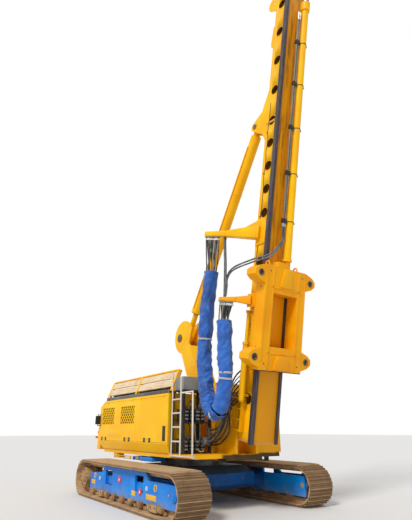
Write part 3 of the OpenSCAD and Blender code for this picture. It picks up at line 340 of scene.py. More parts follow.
def rubber(name):
    dark, light = hoseLooks[name]
    material, tree, shader = newMaterial(name)
    where = place(tree)
    fine = grain(where, 60, 5, 0.7)
    colour = mixed(between(grain(where, 6, 5), 0.4, 0.65), dark, light)
    dust = between(grain(where, 14, 7, 0.75), 0.5, 0.75, 0.45)
    colour = mixed(dust, colour, "#a8957a")
    rough = dust * 0.4 + 0.45
    finishSurface(shader, colour, rough, fine, 0.001)
    return material


# Woven sleeve: threads both ways on the piece's own UV, faded folds and rubbed dirt
clothLook = {"colour": "#1560c0", "deep": "#0c4490", "faded": "#4a90d4", "dirt": "#75787c", "threads": 900.0}


def wovenCloth():
    look = clothLook
    material, tree, shader = newMaterial("sleeveCloth")
    uv = take(tree, "TexCoord", "UV")
    where = place(tree)
    threads = [take(tree, "TexWave", "Fac", {"Vector": uv, "Scale": look["threads"] / 10, "Distortion": 0.6,
                                             "Detail": 1.0}, wave_type="BANDS",
                    bands_direction=direction) for direction in "XY"]
    weave = threads[0] * threads[1]
    broad = grain(where, 2.2, 5, 0.6)
    colour = mixed(between(broad, 0.35, 0.6), look["deep"], look["colour"])
    colour = mixed(between(grain(where, 5.5, 6, 0.7), 0.52, 0.78, 0.7), colour, look["faded"])
    dirt = between(grain(where, 11, 8, 0.75), 0.55, 0.72, 0.55)
    colour = mixed(dirt, colour, look["dirt"])
    colour = mixed(weave * 0.18, colour, look["faded"])
    rough = dirt * 0.3 + 0.62
    creases = weave * 0.1 + grain(where, 9, 6, 0.65)
    finishSurface(shader, colour, rough, creases, 0.012)
    shader.inputs["Sheen Weight"].default_value = 0.25
    return material


def weatheredWood():
    material, tree, shader = newMaterial("weatheredWood")
    along = place(tree, stretch=(22, 0.9, 22))
    where = place(tree)
    fibre = grain(along, 3.0, 8, 0.7)
    colour = mixed(between(fibre, 0.35, 0.68), "#d2b184", "#f6e4c4")
    colour = mixed(between(grain(where, 1.6, 5, 0.6), 0.52, 0.76, 0.3), colour, "#b08a5e")
    knots = take(tree, "TexVoronoi", "Distance", {"Vector": place(tree, stretch=(1, 0.5, 1)), "Scale": 2.4})
    ring = between(knots, 0.05, 0.02)
    colour = mixed(ring * 0.7, colour, "#4d3a22")
    rough = fibre * 0.2 + 0.65
    finishSurface(shader, colour, rough, fibre, 0.004)
    return material


def cabPane():
    material, tree, shader = newMaterial("cabPane")
    film = between(grain(place(tree), 6, 6, 0.7), 0.4, 0.8, 0.5)
    colour = mixed(film, "#6f8f8c", "#9a9a86")
    rough = film * 0.35 + 0.04
    finishSurface(shader, colour, rough, film, 0.0005)
    shader.inputs["Transmission Weight"].default_value = 0.85
    shader.inputs["IOR"].default_value = 1.45
    return material


def seatFabric():
    material, tree, shader = newMaterial("seatFabric")
    where = place(tree)
    weave = take(tree, "TexVoronoi", "Distance", {"Vector": where, "Scale": 260.0})
    colour = mixed(between(weave, 0.1, 0.6), "#17181a", "#33363a")
    colour = mixed(between(grain(where, 7, 6, 0.7), 0.55, 0.8, 0.5), colour, "#8b7c66")
    rough = weave * 0.1 + 0.8
    finishSurface(shader, colour, rough, weave, 0.0012)
    return material


def plainGlow(name, colour, rim, rough=0.25):
    material, tree, shader = newMaterial(name)
    where = place(tree)
    cells = take(tree, "TexVoronoi", "Distance", {"Vector": where, "Scale": 160.0})
    shown = mixed(between(cells, 0.2, 0.7), colour, rim)
    shown = mixed(between(grain(where, 9, 6, 0.7), 0.5, 0.8, 0.5), shown, "#a08868")
    spread = cells * 0.1 + rough
    finishSurface(shader, shown, spread, cells, 0.001)
    return material


# Painted shade in the lid's grille openings: the edges and the lattice behind the lid's face are painted a shaded
# orange, and the added bars stand over a dark sheet that is painted shade inside the housing
grilles = {"y": ((0.74, 1.67), (2.16, 3.09)), "z": (1.92, 2.4), "behind": (-1.497, -1.493),
           "colour": "#f2a00a", "pitch": 0.14, "bar": 0.013}


def lidPaintGrilleShade():
    material = paintedPlate("housingYellow")
    tree, target, painted = reopen(material, "lidYellowGrilleShade")
    parts = axes(place(tree, at=(0, turntableY, 0)))
    rows = [inside(parts["Y"], low, high) for low, high in grilles["y"]]
    # painted shade: the surfaces behind the lid's face inside the openings turn a shaded orange
    grilleShadeMask = inside(parts["Z"], *grilles["z"]) * (rows[0] | rows[1]) * between(parts["X"], *grilles["behind"])
    tree.links.new(mixed(grilleShadeMask, painted, grilles["colour"]).socket, target)
    return material


# Painted shade: the deck's front is painted near black along its lower edge, under the deck
nose = {"edge": 1.21, "side": -0.76, "behind": -0.6, "colour": "#16181c", "cover": 0.92}


def noseShadePaint():
    material = paintedPlate("machineYellow")
    tree, target, painted = reopen(material, "noseYellowUnderShade")
    where = place(tree)
    parts = axes(where)
    wave = parts["Z"] + grain(where, 3.0, 6) * 0.12
    low = 1.0 - between(wave, nose["edge"] + 0.04, nose["edge"] + 0.1)
    low = low * between(parts["X"], nose["side"], nose["side"] + 0.12)
    low = low * (1.0 - between(parts["Y"], nose["behind"], nose["behind"] + 0.05))
    # painted shade along the deck front's lower edge
    tree.links.new(mixed(low * nose["cover"], painted, nose["colour"]).socket, target)
    return material


# Painted shade and rust on the leader's box: its front face painted a shaded orange, its hollow painted near black
# as shade, and rust streaks high up; the materials by look name
frontShadeAndRust = {"depth": 0.034, "low": 4.0, "colour": "#e59400", "rust": "#8e5a1c", "hollow": "#1e1008"}
paints = {}


def makeMaterials():
    for name in ("machineYellow", "housingYellow", "frameBlue", "paintedShadeBlue", "ladderWhite", "boxGrey",
                 "engineGrey", "paintedShadeOrange"):
        paints[name] = paintedPlate(name)
    paints["leaderBoxYellow"] = paintedPlate("leaderBoxYellow", leaderLean, frontShadeAndRust)
    for name in ("leaderYellow", "sledgeYellow"):
        paints[name] = paintedPlate(name, leaderLean)
    for name in ("rollerMud", "greasedSteel", "boltSteel", "blackIron", "brightSteel"):
        paints[name] = bareMetal(name)
    for name in ("darkRail", "pipeSteel", "chromeRod"):
        paints[name] = bareMetal(name, leaderLean, (6, 6, 0.6))
    for name in hoseLooks:
        paints[name] = rubber(name)
    for material in (lidPaintGrilleShade(), noseShadePaint(), shoeMetal(), wovenCloth(), weatheredWood(), cabPane(), seatFabric(),
                     plainGlow("redLens", "#c01a24", "#e4404a"), plainGlow("whiteLens", "#d9dcdf", "#f2f3f4"),
                     plainGlow("ropeWhite", "#cfc8b8", "#e9e3d6", 0.7)):
        paints[material.name] = material


def paintNodes():
    looks = {
        "frameBlue": ["track_frame_right", "track_frame_left"],
        "paintedShadeBlue": ["car_body"],
        "noseYellowUnderShade": ["nose_frame", "deck_frame"],
        "trackShoes": ["track_right", "track_left"],
        "rollerMud": ["drive_sprockets", "front_idlers", "bottom_rollers"],
        "greasedSteel": ["slew_ring", "winch_drum", "head_sheave_front", "head_sheave_rear"],
        "machineYellow": ["stay_boom", "counterweight", "cab_shell", "cab_door",
                          "winch_frame", "plank_rack"],
        "housingYellow": ["engine_housing", "lid_right_front", "lid_left"],
        "lidYellowGrilleShade": ["lid_right_rear"],
        "leaderBoxYellow": ["leader_box"],
        "leaderYellow": ["stay_bracket", "leader_head", "upper_hose_arm", "feed_barrel", "tension_cylinder",
                         "stay_barrel", "stay_rod"],
        "paintedShadeOrange": ["leader_foot"],
        "sledgeYellow": ["sledge_frame", "sledge_hose_arm"],
        "darkRail": ["guide_rails"],
        "chromeRod": ["feed_rod"],
        "pipeSteel": ["feed_pipes"],
        "engineGrey": ["engine_block", "cooler_pack"],
        "blackIron": ["valve_bank"],
        "boxGrey": ["deck_box"],
        "ladderWhite": ["ladder"],
        "weatheredWood": ["rack_planks"],
        "cabPane": ["cab_glass"],
        "seatFabric": ["cab_seat"],
    }
    for look, names in looks.items():
        for name in names:
            data = nodes[name].data
            for i in range(len(data.materials)):
                data.materials[i] = paints[look]
            if not data.materials:
                data.materials.append(paints[look])


# A shape gathers parts in one frame, in metres, and make turns it into a piece of the model
class Shape:
    def __init__(self, frameOf=onDeck):
        self.mesh, self.frameOf = bmesh.new(), frameOf

    def spot(self, point):
        return self.frameOf @ Vector(point)

    def way(self, axis):
        return (self.frameOf.to_3x3() @ Vector(axis)).normalized()

    def soften(self, verts, bevel, rims=False):
        edges = {edge for vert in verts for edge in vert.link_edges}
        if rims:
            edges = {edge for edge in edges if any(len(face.verts) > 4 for face in edge.link_faces)}
        if bevel:
            bmesh.ops.bevel(self.mesh, geom=list(edges), offset=bevel, affect="EDGES", segments=2, profile=0.5,
                            material=-1)

    # the corners may be given either way round
    def block(self, low, high, bevel=0.0):
        low, high = (Vector([pick(pair) for pair in zip(low, high)]) for pick in (min, max))
        middle, size = Matrix.Translation((low + high) / 2), Matrix.Diagonal((*(high - low), 1.0))
        made = bmesh.ops.create_cube(self.mesh, size=1.0, matrix=self.frameOf @ middle @ size)
        self.soften(made["verts"], bevel)

    def rod(self, start, end, radius, sides=20, bevel=0.0):
        start, end = self.spot(start), self.spot(end)
        turn = (end - start).to_track_quat("Z", "Y").to_matrix().to_4x4()
        made = bmesh.ops.create_cone(self.mesh, cap_ends=True, segments=sides, radius1=radius, radius2=radius,
                                     depth=(end - start).length, matrix=Matrix.Translation((start + end) / 2) @ turn)
        self.soften(made["verts"], bevel, True)

    def spin(self, parts, middle, axis, turns):
        bmesh.ops.spin(self.mesh, geom=parts, cent=middle, axis=axis, angle=2 * math.pi, steps=turns, use_merge=True)

    def ring(self, middle, axis, radius, thick, turns=28, around=8):
        middle, axis = self.spot(middle), self.way(axis)
        side = axis.orthogonal().normalized()
        turn = Matrix([side, axis, side.cross(axis)]).transposed().to_4x4()
        made = bmesh.ops.create_circle(self.mesh, cap_ends=False, segments=around, radius=thick,
                                       matrix=Matrix.Translation(middle + side * radius) @ turn)
        edges = {edge for vert in made["verts"] for edge in vert.link_edges}
        self.spin(made["verts"] + list(edges), middle, axis, turns)

    # (radius, height) pairs turned round an axis
    def turned(self, middle, axis, profile, turns=28):
        middle, axis = self.spot(middle), self.way(axis)
        side = axis.orthogonal().normalized()
        verts = [self.mesh.verts.new(middle + side * radius + axis * height) for radius, height in profile]
        edges = [self.mesh.edges.new(pair) for pair in zip(verts, verts[1:])]
        self.spin(verts + edges, middle, axis, turns)

    # a flat outline, drawn out by a vector
    def plate(self, outline, out, bevel=0.0):
        face = self.mesh.faces.new([self.mesh.verts.new(self.spot(spot)) for spot in outline])
        made = bmesh.ops.extrude_face_region(self.mesh, geom=[face])
        moved = [part for part in made["geom"] if isinstance(part, bmesh.types.BMVert)]
        bmesh.ops.translate(self.mesh, verts=moved, vec=self.frameOf.to_3x3() @ Vector(out))
        self.soften(moved + list(face.verts), bevel)

    # rectangular ends that differ, each its middle, half width across and half height
    def beam(self, start, end, bevel):
        made = bmesh.ops.create_cube(self.mesh, size=2.0)
        across = (Vector(end[0]) - Vector(start[0])).normalized().cross(Vector((0, 0, 1))).normalized()
        for vert in made["verts"]:
            middle, wide, high = end if vert.co.y > 0 else start
            vert.co = self.spot(Vector(middle) + across * wide * vert.co.x + Vector((0, 0, high * vert.co.z)))
        self.soften(made["verts"], bevel)

    def bolt(self, spot, axis, radius, height):
        spot, axis = Vector(spot), Vector(axis).normalized()
        self.rod(spot, spot + axis * height * 0.3, radius * 1.35, 12)
        self.rod(spot + axis * height * 0.3, spot + axis * height, radius, 6)

    # bolts round an axis along X or along Z
    def boltCircle(self, middle, axis, away, count, radius, height, first=0):
        one, two = ((0, 1, 0), (0, 0, 1)) if axis[0] else ((1, 0, 0), (0, 1, 0))
        for i in range(count):
            turn = math.radians(first + 360 * i / count)
            out = Vector(one) * math.cos(turn) + Vector(two) * math.sin(turn)
            self.bolt(Vector(middle) + out * away, axis, radius, height)

    def make(self, name, body, look, slot=None, crease=38):
        return makePiece(name, self.mesh, body, look, crease)


def newObject(name, mesh, material, crease=38):
    bmesh.ops.remove_doubles(mesh, verts=mesh.verts, dist=0.00005)
    bmesh.ops.recalc_face_normals(mesh, faces=mesh.faces)
    for face in mesh.faces:
        face.smooth = True
    for edge in mesh.edges:
        if len(edge.link_faces) == 2 and edge.calc_face_angle(0) > math.radians(crease):
            edge.smooth = False
    data = bpy.data.meshes.new(name)
    mesh.to_mesh(data)
    mesh.free()
    data.materials.append(material)
    piece = bpy.data.objects.new(name, data)
    bpy.context.scene.collection.objects.link(piece)
    return piece


def makePiece(name, mesh, body, look, crease=38):
    piece = newObject(name, mesh, paints[look], crease)
    if body:
        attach(piece, body)
    return piece


def smoothRoute(points, steps):
    points = [Vector(p) for p in points]
    route = []
    for i in range(len(points) - 1):
        a, b = points[max(i - 1, 0)], points[i]
        c, d = points[i + 1], points[min(i + 2, len(points) - 1)]
        for j in range(steps):
            t = j / steps
            route.append(0.5 * (2 * b + (c - a) * t + (2 * a - 5 * b + 4 * c - d) * t * t
                                + (3 * b - a - 3 * c + d) * t * t * t))
    return route + [points[-1]]


def routeLength(route):
    return sum((b - a).length for a, b in zip(route, route[1:]))


def hoseMesh(name, route, radius, sides=10):
    line = bpy.data.curves.new(name, "CURVE")
    line.dimensions = "3D"
    line.bevel_depth = radius
    line.bevel_resolution = max(0, sides // 4 - 1)
    line.use_fill_caps = True
    spline = line.splines.new("POLY")
    spline.points.add(len(route) - 1)
    for point, spot in zip(spline.points, route):
        point.co = (*spot, 1.0)
    drawn = bpy.data.objects.new(name + "Line", line)
    bpy.context.scene.collection.objects.link(drawn)
    data = bpy.data.meshes.new_from_object(drawn)
    bpy.data.objects.remove(drawn)
    bpy.data.curves.remove(line)
    mesh = bmesh.new()
    mesh.from_mesh(data)
    bpy.data.meshes.remove(data)
    bmesh.ops.remove_doubles(mesh, verts=mesh.verts, dist=0.0002)
    return mesh


# A cord along a route; blended ones name the two bodies and the bend's start and end
def makeHose(name, route, thick, look, body=None, blended=None, digits=2,
             sides=10):
    hose = makePiece(name, hoseMesh(name, route, thick / 2, sides), body, look, crease=60)
    if blended:
        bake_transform(hose)
    round(routeLength(route), digits)
    return hose


# Hose loop between the leader's arm and the sledge's arm, in metres from the turntable
loop = {
    "route": ((-1.0, -2.39, 6.62), (-1.0, -2.39, 6.2), (-1.0, -2.39, 5.7),
              (-1.0, -2.18, 4.5), (-1.0, -2.06, 3.5), (-1.0, -2.13, 2.8),
              (-1.0, -2.27, 2.33), (-1.0, -2.5, 2.12), (-1.0, -2.76, 2.33),
              (-1.0, -2.93, 2.9), (-1.0, -2.92, 3.5), (-1.0, -2.92, 4.15),
              (-1.0, -2.92, 4.65)),
    "steps": 6,
    "bend": ((-1.0, -2.3, 2.4), (-1.0, -2.75, 2.4)),
    # the strands' ends along the undersides of the two arms, first and last
    "high": ((-0.87, -2.575, 6.6), (-1.085, -2.275, 6.66)),
    "low": ((-0.91, -3.14, 4.64), (-1.085, -2.87, 4.69)),
    "spread": (0.21, 0.095),
    "wider": 0.16,
    # hoses: colour, diameter, distance from the middle, angle round it
    "hoses": (("hoseBlack", 0.048, 0.0, 0), ("hoseGrey", 0.05, 0.068, 0), ("hoseBlack", 0.046, 0.068, 60),
              ("hoseBeige", 0.04, 0.066, 120), ("hoseBlack", 0.05, 0.068, 180),
              ("hoseBlack", 0.044, 0.068, 240), ("hoseBeige", 0.034, 0.066, 300),
              ("hoseBlack", 0.032, 0.118, 30), ("hoseGrey", 0.03, 0.118, 90), ("hoseBlack", 0.034, 0.118, 150),
              ("hoseBlack", 0.032, 0.118, 210), ("hoseBlack", 0.034, 0.118, 330)),
}


def sideways(route, i):
    run = (route[min(i + 1, len(route) - 1)] - route[max(i - 1, 0)]).normalized()
    across = run.cross(Vector((1, 0, 0))).normalized()
    return across.cross(run).normalized(), across


def ringOffset(middle, i, away, angle):
    along, across = sideways(middle, i)
    swing = math.radians(angle + 55 * i / (len(middle) - 1))
    return away * (along * math.cos(swing) + across * math.sin(swing))


def strandPlaces(middle, key):
    # each strand's share along an arm, in the order in which the strands lie in the bundle
    spot = 0 if key == "high" else len(middle) - 1
    run = Vector(loop[key][1]) - Vector(loop[key][0])
    offsets = [ringOffset(middle, spot, away, angle).dot(run) for _, _, away, angle in loop["hoses"]]
    ranked = sorted(range(len(offsets)), key=lambda k: offsets[k])
    return [ranked.index(k) / (len(offsets) - 1) for k in range(len(offsets))]


def makeLoop():
    middle = [onDeck @ p for p in smoothRoute(loop["route"], loop["steps"])]
    start, end = (onDeck @ Vector(p) for p in loop["bend"])
    last = len(middle) - 1
    for number, (look, thick, away, angle) in enumerate(loop["hoses"]):
        route = []
        for i, spot in enumerate(middle):
            outside = max(0.0, 1 - i / last / 0.19, 1 - (last - i) / last / 0.1)
            route.append(spot + ringOffset(middle, i, away * (1 + loop["wider"] * min(1.0, outside * 4)), angle))
        for share, key in ((0, "high"), (1, "low")):
            first, final = loop[key]
            tip = onDeck @ Vector(first).lerp(Vector(final), strandPlaces(middle, key)[number])
            moved = tip - (middle[-1] if share else middle[0])
            reach = loop["spread"][share] * last
            for i, spot in enumerate(route):
                near = max(0.0, 1 - (last - i if share else i) / reach)
                near = near * near * (3 - 2 * near)
                route[i] = spot.lerp(middle[i] + moved, near)
        hose = makeHose(f"loop_hose_{number + 1}", route, thick, look, blended=("leader", "sledge", start, end))
        if number == 0:
            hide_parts("loop_hoses")


# Supply hoses from the valve bank up to the leader's arm
supply = {
    "route": ((-0.74, -1.82, 1.5), (-0.74, -2.01, 1.53), (-0.74, -2.29, 1.72),
              (-0.74, -2.48, 2.08), (-0.74, -2.54, 2.7), (-0.74, -2.54, 3.8),
              (-0.76, -2.62, 4.8), (-0.78, -2.7, 5.7), (-0.78, -2.7, 6.1),
              (-0.78, -2.7, 6.56)),
    "steps": 6,
    "bend": ((-0.74, -1.9, 1.5), (-0.74, -2.54, 3.4)),
    "hoses": (("hoseBlack", 0.04, 0.024, 90), ("hoseGrey", 0.038, 0.026, 210), ("hoseBlack", 0.036, 0.027, 330)),
}


def makeSupply():
    middle = [onDeck @ p for p in smoothRoute(supply["route"], supply["steps"])]
    start, end = (onDeck @ Vector(p) for p in supply["bend"])
    for number, (look, thick, away, angle) in enumerate(supply["hoses"]):
        swing = math.radians(angle)
        route = []
        for i, spot in enumerate(middle):
            along, across = sideways(middle, i)
            route.append(spot + away * (along * math.cos(swing) + across * math.sin(swing)))
        hose = makeHose(f"supply_hose_{number + 1}", route, thick, look,
                        blended=("upper_carriage", "leader", start, end))
        if number == 0:
            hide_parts("supply_hoses")


# Two stiff hoses from the pipes' lower ends to the sledge's arm
feedHoses = {
    "route": ((-0.062, -4.21, 6.497), (-0.062, -4.17, 6.297), (-0.062, -4.13, 6.097),
              (-0.42, -4.07, 5.68), (-0.72, -3.76, 5.56), (-0.95, -3.28, 5.45),
              (-1.0, -3.065, 5.267), (-1.0, -3.025, 5.067), (-1.0, -2.975, 4.817)),
    "steps": 6,
    "thick": 0.042,
    # looks and sideways offsets at the pipes, in the arc and at the arm
    "hoses": (("hoseGrey", (-0.028, 0, 0), (0, 0, 0.035), (0, 0.03, 0)),
              ("hoseGrey", (0.028, 0, 0), (0, 0, -0.035), (0, -0.03, 0))),
}


def makeFeedHoses():
    middle = [onDeck @ p for p in smoothRoute(feedHoses["route"], feedHoses["steps"])]
    last = len(middle) - 1
    for number, (look, atPipes, inArc, atArm) in enumerate(feedHoses["hoses"]):
        route = []
        for i, spot in enumerate(middle):
            share = i / last
            arc = math.sin(math.pi * share) ** 2
            low = Vector(atPipes).lerp(Vector(atArm), share)
            route.append(spot + low * (1 - arc) + Vector(inArc) * arc)
        hose = makeHose(f"feed_hose_{number + 1}", route, feedHoses["thick"], look, "sledge")
        if number == 0:
            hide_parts("sledge_hoses")


# Cloth sleeves round the loop: spans as shares of the route, radius and the ties' places
sleeves = {
    "around": 40,
    "thick": 0.003,
    "spans": (
        {"name": "sleeve_long", "from": 0.175, "to": 0.63, "radius": 0.174, "flare": 0.012,
         "ties": (0.3, 0.585), "seed": 3.1, "wrinkle": 0.024, "full": 0.45},
        {"name": "sleeve_short", "from": 0.635, "to": 0.925, "radius": 0.17, "flare": 0.014,
         "ties": (0.742, 0.76), "seed": 9.4, "wrinkle": 0.022, "full": 0.25},
    ),
}


def makeSleeves():
    middle = [onDeck @ p for p in smoothRoute(loop["route"], 24)]
    total = routeLength(middle)
    start, end = (onDeck @ Vector(p) for p in loop["bend"])
    for sleeve in sleeves["spans"]:
        first, final = (round(sleeve[key] * (len(middle) - 1)) for key in ("from", "to"))
        mesh = bmesh.new()
        uv = mesh.loops.layers.uv.new("weave")
        count = sleeves["around"]
        rings = []
        tiePlaces = [round(share * (len(middle) - 1)) for share in sleeve["ties"]]
        for i in range(first, final + 1):
            along, across = sideways(middle, i)
            near = min(abs(i - tie) for tie in tiePlaces)
            pinch = 0.02 * math.exp(-((near / 3.0) ** 2))
            edge = min(i - first, final - i)
            flare = sleeve["flare"] * math.exp(-edge / 3)
            made = bmesh.ops.create_circle(mesh, cap_ends=False, segments=count, radius=1.0)
            for k, vert in enumerate(made["verts"]):
                angle = 2 * math.pi * k / count
                out = along * math.cos(angle) + across * math.sin(angle)
                spot = middle[i] + out * sleeve["radius"]
                crease = noise.noise(Vector((spot.x * 5, spot.y * 5, spot.z * 7 + sleeve["seed"])))
                pleat = math.sin(angle * 7 + 3 * math.sin(i * 0.35) + sleeve["seed"]) * 0.3
                turned = Vector((math.cos(angle), math.sin(angle), i * 0.075 + sleeve["seed"]))
                fold = noise.noise(turned * 1.6) + 0.6 * noise.noise(turned * 3.7)
                gather = 1 - abs(noise.noise(Vector((math.cos(angle) * 1.1, math.sin(angle) * 1.1,
                                                     i * 0.24 + sleeve["seed"])))) * 3.0
                ruck = sleeve["full"] * max(0.0, gather) * min(1.0, (i - first) / (final - first) * 1.6)
                swell = sleeve["wrinkle"] * (crease + fold + pleat + 2.2 * ruck)
                vert.co = middle[i] + out * (sleeve["radius"] - pinch + flare + swell)
            rings.append(made["verts"])
        for low, high in zip(rings, rings[1:]):
            for k in range(count):
                mesh.faces.new((low[k], low[(k + 1) % count], high[(k + 1) % count], high[k]))
        width = 2 * math.pi * sleeve["radius"]
        long = total * (sleeve["to"] - sleeve["from"])
        for i, face in enumerate(mesh.faces):
            ring, k = divmod(i, count)
            for loopCorner, (du, dv) in zip(face.loops, ((0, 0), (1, 0), (1, 1), (0, 1))):
                loopCorner[uv].uv = ((k + du) / count * width, (ring + dv) / (final - first) * long)
        piece = makePiece(sleeve["name"], mesh, None, "sleeveCloth", crease=80)
        solid = piece.modifiers.new("clothThickness", "SOLIDIFY")
        solid.thickness = sleeves["thick"]
        solid.offset = 1.0
        smoother = piece.modifiers.new("smoothCloth", "SUBSURF")
        smoother.levels = smoother.render_levels = 1
        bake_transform(piece)
        ties = Shape(Matrix())
        for tie in tiePlaces:
            run = (middle[tie + 1] - middle[tie - 1]).normalized()
            for step in (-0.012, 0.012):
                ties.ring(middle[tie] + run * step, run, sleeve["radius"] - 0.002, 0.008, turns=40)
        tied = ties.make(sleeve["name"] + "_ties", None, "ropeWhite", crease=60)
        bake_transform(tied)
        if sleeve["name"] == "sleeve_long":
            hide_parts("hose_sleeve")


# Arms that hold the loop's two ends: places are (middle, half width, half height) along each beam
arms = {
    "upper": (((-0.3, 0.42, 5.05), 0.15, 0.17), ((-0.66, 1.13, 5.06), 0.105, 0.095),
              ((-0.76, 1.29, 5.055), 0.095, 0.075), ((-1.1, 1.79, 5.05), 0.08, 0.06)),
    "upperGusset": ((-0.325, 0.1, 4.76), (-0.325, 0.545, 4.7), (-0.325, 0.545, 5.42),
                    (-0.325, 0.3, 5.42), (-0.325, 0.1, 5.24)),
    "upperWeb": ((-0.33, 0.42, 5.215), (-0.33, 0.42, 5.42), (-0.56, 0.92, 5.16)),
    "lower": (((-0.645, 0.11, 3.225), 0.11, 0.11), ((-0.86, 0.43, 3.225), 0.085, 0.06),
              ((-1.09, 0.82, 3.225), 0.065, 0.038)),
    "lowerPad": ((-0.645, -0.02, 3.07), (-0.645, 0.26, 3.07), (-0.645, 0.26, 3.39),
                 (-0.645, -0.02, 3.39)),
    "padThick": 0.02,
    "bolt": 0.016,
}


def addBeams(mesh, places, bevel):
    for start, end in zip(places, places[1:]):
        mesh.beam(start, end, bevel)


def makeArms():
    mesh = Shape(onLeader)
    addBeams(mesh, arms["upper"], 0.012)
    mesh.plate(arms["upperGusset"], (-0.022, 0, 0), 0.005)
    mesh.plate(arms["upperWeb"], (-0.018, -0.008, 0), 0.003)
    for s in (4.84, 5.3):
        for d in (0.18, 0.47):
            mesh.bolt((-0.347, d, s), (-1, 0, 0), arms["bolt"], 0.022)
    piece = mesh.make("upper_arm", "leader", "leaderYellow")
    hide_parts("upper_hose_arm")
    mesh = Shape(onLeader)
    addBeams(mesh, arms["lower"], 0.01)
    mesh.plate(arms["lowerPad"], (-arms["padThick"], 0, 0), 0.004)
    for s in (3.11, 3.35):
        for d in (0.02, 0.21):
            mesh.bolt((-0.665, d, s), (-1, 0, 0), arms["bolt"], 0.022)
    piece = mesh.make("lower_arm", "sledge", "sledgeYellow")
    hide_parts("sledge_hose_arm")
    # clamp bars, hooks and end fittings where the strands hang
    for name, body, key, lift, thick in (("upper_arm", "leader", "high", 0.03, 0.11),
                                         ("lower_arm", "sledge", "low", 0.02, 0.06)):
        fittings, hooks = Shape(Matrix()), Shape(Matrix())
        first, final = (onDeck @ Vector(spot) for spot in loop[key])
        run = (final - first).normalized()
        middle = [onDeck @ p for p in smoothRoute(loop["route"], loop["steps"])]
        for i, share in enumerate(strandPlaces(middle, key)):
            spot = first.lerp(final, share)
            size = loop["hoses"][i][1] / 2
            fittings.turned(spot - Vector((0, 0, 0.105)), (0, 0, 1),
                            ((size * 1.01, 0), (size * 1.25, 0.004), (size * 1.25, 0.06), (size * 0.8, 0.068),
                             (size * 0.8, 0.084), (size * 1.35, 0.086), (size * 1.35, 0.112), (0, 0.113)), turns=12)
            if i % 2 == 0:
                hooks.ring(spot + Vector((0, 0, lift)), run, thick * 0.62, 0.009, turns=20, around=6)
        fittings.rod(first - run * 0.05 + Vector((0, 0, 0.012)), final + run * 0.05 + Vector((0, 0, 0.012)), 0.02,
                     12)
        fittings.make(name + "_fittings", body, "brightSteel")
        hooks.make(name + "_hooks", body, "ropeWhite", crease=60)


# Housing: latches in pairs, grille bars, blank plates, roof louvres, eyes and exhaust
housing = {
    "face": -1.5,
    "latches": {"right_rear_lid": (2.71, 3.01, 1.0, 1.3), "right_front_lid": (-0.25, 0.05),
                "left_lid": (0.05, 0.35, 1.35, 1.65, 2.71, 3.01)},
    "latchHigh": 1.502,
    "latch": (0.058, 0.055),
    "slot": ((-1.08, 1.5), (-0.93, 1.84)),
    "plate": ((1.5, 1.56), (2.5, 1.78)),
    "louvres": {"x": (-0.38, 0.38), "y": (1.4, 3.0), "count": 14, "top": 2.62},
    "exhaust": {"spot": (0.25, 1.15, 2.6), "radius": 0.062, "tall": 0.3},
}


